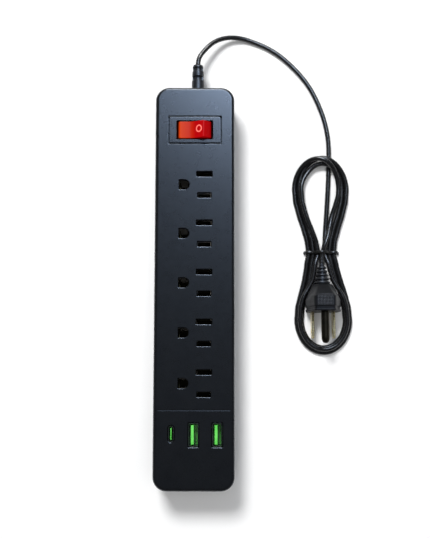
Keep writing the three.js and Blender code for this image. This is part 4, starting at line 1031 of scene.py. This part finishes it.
def add_port(kind, number, outline, tongue, contacts):
    """A shell of folded sheet, the tongue in it, and the tongue's contacts."""
    name = kind + number
    shell = Shell()
    can = shell.sheath(outline, [
        (-0.15, USB_SEAT), (0, USB_SEAT + 0.15), (0, USB_TOP - 0.12), (-0.1, USB_TOP),
        (0.1 - USB_SHEET, USB_TOP), (-USB_SHEET, USB_TOP - 0.12), (-USB_SHEET, USB_SEAT + 1.0)])
    shell.cap(can[0])
    shell.cap(can[-1])
    add_shell(shell, f"{name}_can", "port_steel", replaces=[f"{kind}_shell{number}"])
    place, size = tongue
    moulding = Shell()
    inside = -USB_SHEET - GAP
    base = moulding.sheath(outline, [(inside, USB_SEAT + 1.3), (inside, TONGUE_ROOT)])
    blade = moulding.sheath(box(place, size, 0.2), [
        (0, TONGUE_ROOT), (0, TONGUE_TOP - 0.5), (-0.06, TONGUE_TOP - 0.15), (-0.17, TONGUE_TOP)])
    moulding.cap(base[0])
    moulding.plate(base[-1], [blade[0]])
    moulding.cap(blade[-1])
    add_shell(moulding, f"{name}_insert", "port_green", replaces=[f"{kind}_tongue{number}"])
    pins = Shell()
    for x, y, half in contacts:
        pins.add(block((x - 0.06, y - half, TONGUE_ROOT + 0.1), (x + 0.1, y + half, TONGUE_TOP - 0.7)))
    add_shell(pins, f"{name}_contacts", "contact_brass")


def add_usb_c_port():
    x, y = USB_C
    pitch, half = 0.5, 0.14
    offsets = [(i - 5.5) * pitch for i in range(12)]
    contacts = [(x + side * USB_C_TONGUE[0] / 2, y + offset, half) for side in (-1, 1) for offset in offsets]
    outline = box(USB_C, USB_C_SHELL, USB_C_SHELL[0] / 2 - 0.02, 8)
    add_port("usb_c", "", outline, (USB_C, USB_C_TONGUE), contacts)


def add_usb_a_ports():
    half = 0.5
    for number, x in enumerate(USB_A_XS, 1):
        tongue_x = x + USB_A_TONGUE_SHIFT
        face = tongue_x + USB_A_TONGUE[0] / 2
        contacts = [(face, USB_A_Y + offset, half) for offset in (-3.5, -1.0, 1.0, 3.5)]
        outline = box((x, USB_A_Y), USB_A_SHELL, 0.7)
        add_port("usb_a", f"_{number}", outline, ((tongue_x, USB_A_Y), USB_A_TONGUE), contacts)


# ---- strain relief

def sleeve_spread(radius, distance, angle):
    """Fills the grooves between the relief's sections near its two sides."""
    if not SLEEVE_START < distance < SLEEVE_END:
        return radius
    part = (distance - SLEEVE_START) / (SLEEVE_END - SLEEVE_START)
    full = SLEEVE_WIDE + (SLEEVE_NARROW - SLEEVE_WIDE) * part
    share = smooth_step((abs(math.cos(angle)) - 0.86) / 0.08)
    return radius + max(0.0, full - 0.1 - radius) * share


def add_strain_relief():
    """A flange inside the wall and a neck through it, then three tapering sections outside."""
    flange = [(0, 112.6), (4.45, 112.6), (4.6, 112.75), (4.6, 115.7), (4.45, 115.85)]
    neck = [(3.1, 115.85), (3.1, 118.35)]
    first = [(3.65, 118.35), (3.85, 118.5), (3.9, 118.7), (3.75, 126.5), (3.6, 126.9), (3.3, 127.05)]
    first_groove = [(2.7, 127.15), (2.6, 127.4), (2.6, 129.0), (2.7, 129.25)]
    second = [(3.2, 129.35), (3.5, 129.5), (3.62, 129.8), (3.52, 132.6), (3.35, 132.95), (3.1, 133.05)]
    second_groove = [(2.55, 133.15), (2.5, 133.4), (2.5, 134.7), (2.55, 134.9)]
    third = [(2.95, 135.0), (3.2, 135.15), (3.28, 135.4), (3.15, 136.2), (2.8, 136.8), (2.2, 137.15),
             (1.5, 137.25), (0, 137.25)]
    profile = flange + neck + first + first_groove + second + second_groove + third
    shell = revolve(profile, CORD_CENTRE, "Y", 64, sleeve_spread)
    return add_shell(shell, "lead_relief", "relief_black", slot="cord_black", replaces=["strain_relief"],
                     sharp=50.0)


# ---- tie and plug

def add_tie():
    """A coated band over the strands and down both sides, with a small knot at each side."""
    right = [(9.75, 0.15), (9.85, 1.4), (9.4, 2.7), (8.2, 3.35), (6.2, 3.5), (4.2, 4.3), (2.3, 5.8),
             (0.3, 6.6)]
    line = through([(x, 0, z) for x, z in right + mirrored(right)], 0.5)
    upper = [(0.85, 0.0), (0.8, 0.28), (0.5, 0.42), (0, 0.46), (-0.5, 0.42), (-0.8, 0.28)]
    section = upper + [(-y, -rise) for y, rise in upper]
    shell = Shell()
    rings = []
    for i, point in enumerate(line):
        ahead = line[min(i + 1, len(line) - 1)] - line[max(i - 1, 0)]
        normal = Vector((0, 1, 0)).cross(ahead).normalized()
        rings.append(shell.ring([point + Vector((0, y, 0)) + normal * rise for y, rise in section]))
    shell.tube(rings)
    knot = [(0, -1.2), (0.35, -1.1), (0.6, -0.7), (0.66, 0), (0.6, 0.5), (0.3, 0.9), (0, 1.0)]
    for side in (-1, 1):
        shell.add(revolve(knot, (side * 10.2, -0.2, 1.3), "Y", 20))
    shell.place(Matrix.Translation((HANK_X, TIE_Y + 1.0, 0)))
    return add_shell(shell, "hank_tie", "tie_black", replaces=["cord_tie"], sharp=60.0)


PLUG_MATRIX = Matrix.Translation((*PLUG_PLACE, 0)) @ Matrix.Rotation(PLUG_TURN, 4, "Z")


def plug_top(y):
    """Height of the plug's top at a distance from its face."""
    return PLUG_TOP - TOP_SLOPE * max(0.0, y - SLOPE_START)


def plug_outline(y, inset):
    """The plug's section at a distance from its face: widest at its shoulders, and narrow at the top."""
    flank = PLUG_HALF_WIDTH - TAPER_SLOPE * max(0.0, y - TAPER_START)
    top = PLUG_TOP_HALF - TOP_TAPER_SLOPE * max(0.0, y - TOP_TAPER_START)
    high = plug_top(y)
    shoulder_z = min(8.5, high * 0.62)
    right = [(flank - 1.7, 0.1), (flank - 0.9, 1.0), (flank - 0.7, 3.0), (flank, shoulder_z),
             (top + 1.0, high - 1.5), (top, high)]
    cuts = [0.5, 0.4, 0.4, 1.4, 0.6, 0.6]
    outline = soften(right + mirrored(right), [*cuts, *reversed(cuts)])
    middle = high / 2
    shrink_x, shrink_z = 1 - inset / flank, 1 - inset / middle
    return [(x * shrink_x, middle + (z - middle) * shrink_z) for x, z in outline]


def add_plug_body():
    """The moulding, with a groove behind its face and pockets for the blades and the pin."""
    face = [(0, 0.5), (0.12, 0.15), (0.4, 0), (0.9, 0)]
    groove = [(1.05, 0.1), (1.15, 0.55), (2.7, 0.55), (2.85, 0.1)]
    flanks = [(y, 0) for y in (3.0, 5, 7, 8, 8.8, 9.6, 11, 12.5, 14, 15.5)]
    back = [(16.4, 0.05), (16.8, 0.3), (17.0, 0.8)]
    shell = Shell()
    shell.tube([shell.ring([(x, y, z) for x, z in plug_outline(y, inset)])
                for y, inset in face + groove + flanks + back])
    pockets = []
    pocket_depth = ROOT_DEPTH + GAP
    for side, width in ((-1, NEUTRAL_BLADE), (1, LINE_BLADE)):
        x, half = side * HALF_SPACING, width / 2 + 0.1
        pockets.append(block((x - 0.85, -1, BLADE_Z - half), (x + 0.85, pocket_depth, BLADE_Z + half)))
    pockets.append(revolve([(2.5, -1), (2.5, pocket_depth)], (0, 0, GROUND_PIN_Z), "Y"))
    for part in (shell, *pockets):
        part.place(PLUG_MATRIX)
    return add_shell(shell, "plug_moulding", "plug_black", pockets, replaces=["plug_body"], sharp=40.0)


def add_plug_grip():
    """Rows of small studs on the plug's top, in a lighter material: painted sheen."""
    profile = [(0, -0.2), (0.3, -0.2), (0.28, 0.06), (0.18, 0.14), (0, 0.16)]
    shell = Shell()
    for row in range(GRIP_ROWS):
        y = GRIP_START + row * GRIP_PITCH
        for column in range(GRIP_COLUMNS):
            x = (column - GRIP_COLUMNS // 2) * GRIP_PITCH
            shell.add(revolve(profile, (x, y, plug_top(y)), "Z", 8))
    shell.place(PLUG_MATRIX)
    return add_shell(shell, "plug_grip", "grip_black", slot="plug_black")


def add_plug_relief():
    """Round ribs that get smaller towards the lead."""
    profile = [(0, RELIEF_START)]
    pitch = (RELIEF_END - RELIEF_START) / (RIBS + 0.4)
    for i in range(RIBS):
        y = RELIEF_START + i * pitch
        rib = 4.8 - 0.47 * i
        neck = rib - 1.3
        profile += [(rib - 0.5, y), (rib - 0.2, y + 0.12), (rib - 0.04, y + 0.4), (rib, y + 0.65),
                    (rib - 0.1, y + 0.95), (rib - 0.3, y + 1.2), (rib - 0.6, y + 1.38), (neck, y + 1.45),
                    (neck - 0.1, y + pitch - 0.02)]
    profile += [(1.75, RELIEF_END - 0.4), (1.6, RELIEF_END), (0, RELIEF_END)]
    shell = revolve(profile, (0, 0, PLUG_CORD_Z), "Y", 40).place(PLUG_MATRIX)
    return add_shell(shell, "plug_ribs", "relief_black", slot="plug_black", replaces=["plug_relief"],
                     sharp=50.0)


def blade_outline(width):
    """A blade from its side, with its root in the plug at +u and a tapered end at -u."""
    half = width / 2
    taper = 1.4
    points = [(ROOT_DEPTH, -half), (ROOT_DEPTH, half), (BLADE_END + taper, half), (BLADE_END, half - taper),
              (BLADE_END, taper - half), (BLADE_END + taper, -half)]
    soft = soften(points, [0.3] * len(points))
    middle = (ROOT_DEPTH + BLADE_END) / 2
    reach = ROOT_DEPTH - middle
    return lambda grow: [(middle + (u - middle) * (1 + grow / reach), v * (1 + grow / half)) for u, v in soft]


def add_blade(side, width, name):
    """A blade with a hole near its end, drawn flat and then stood on edge."""
    half, edge, chamfer = BLADE_THICKNESS / 2, 0.25, 0.1
    hole_u, hole = BLADE_HOLE
    metal = Shell()
    outside = metal.sheath(blade_outline(width), [
        (-0.2, -half), (0, edge - half), (0, half - edge), (-0.2, half)])
    bore = metal.sheath(circle((hole_u, 0), hole), [
        (chamfer, -half), (0, chamfer - half), (0, half - chamfer), (chamfer, half)])
    metal.plate(outside[0], [bore[0]])
    metal.plate(outside[-1], [bore[-1]])
    # u runs along the plug, v up, and the thickness across
    stand = Matrix(((0, 0, 1, side * HALF_SPACING), (1, 0, 0, 0), (0, 1, 0, BLADE_Z), (0, 0, 0, 1)))
    metal.place(PLUG_MATRIX @ stand)
    return add_shell(metal, f"blade_{name}", "blade_brass", replaces=[f"plug_{name}_blade"])


def add_ground_pin():
    profile = [(0, -19.1), (0.9, -19.0), (1.6, -18.5), (2.1, -17.7), (2.35, -16.8), (2.4, -15.9),
               (2.4, ROOT_DEPTH), (0, ROOT_DEPTH)]
    shell = revolve(profile, (0, 0, GROUND_PIN_Z), "Y", 40).place(PLUG_MATRIX)
    return add_shell(shell, "blade_ground", "pin_brass", slot="blade_brass", replaces=["plug_ground_pin"])


# ---- run

def dress_inner_nodes():
    """Every CAD node gets the material of its slot. The ones that a piece replaces aren't seen."""
    for part in frame["record"]["subparts"]:
        data = frame["nodes"][part["node"]].data
        data.materials.clear()
        data.materials.append(materials[part["material_slot"]])


add_camera()
add_studio()
materials = make_materials()
add_floor()
cord = add_cord()
add_top_cover()
add_bottom_cover()
add_cover_screws()
add_switch_frame()
add_rocker()
add_zero_mark()
add_usb_c_port()
add_usb_a_ports()
relief = add_strain_relief()
tie = add_tie()
plug = [add_plug_body(), add_plug_grip(), add_plug_relief(), add_blade(-1, NEUTRAL_BLADE, "neutral"),
        add_blade(1, LINE_BLADE, "line"), add_ground_pin()]
dress_inner_nodes()
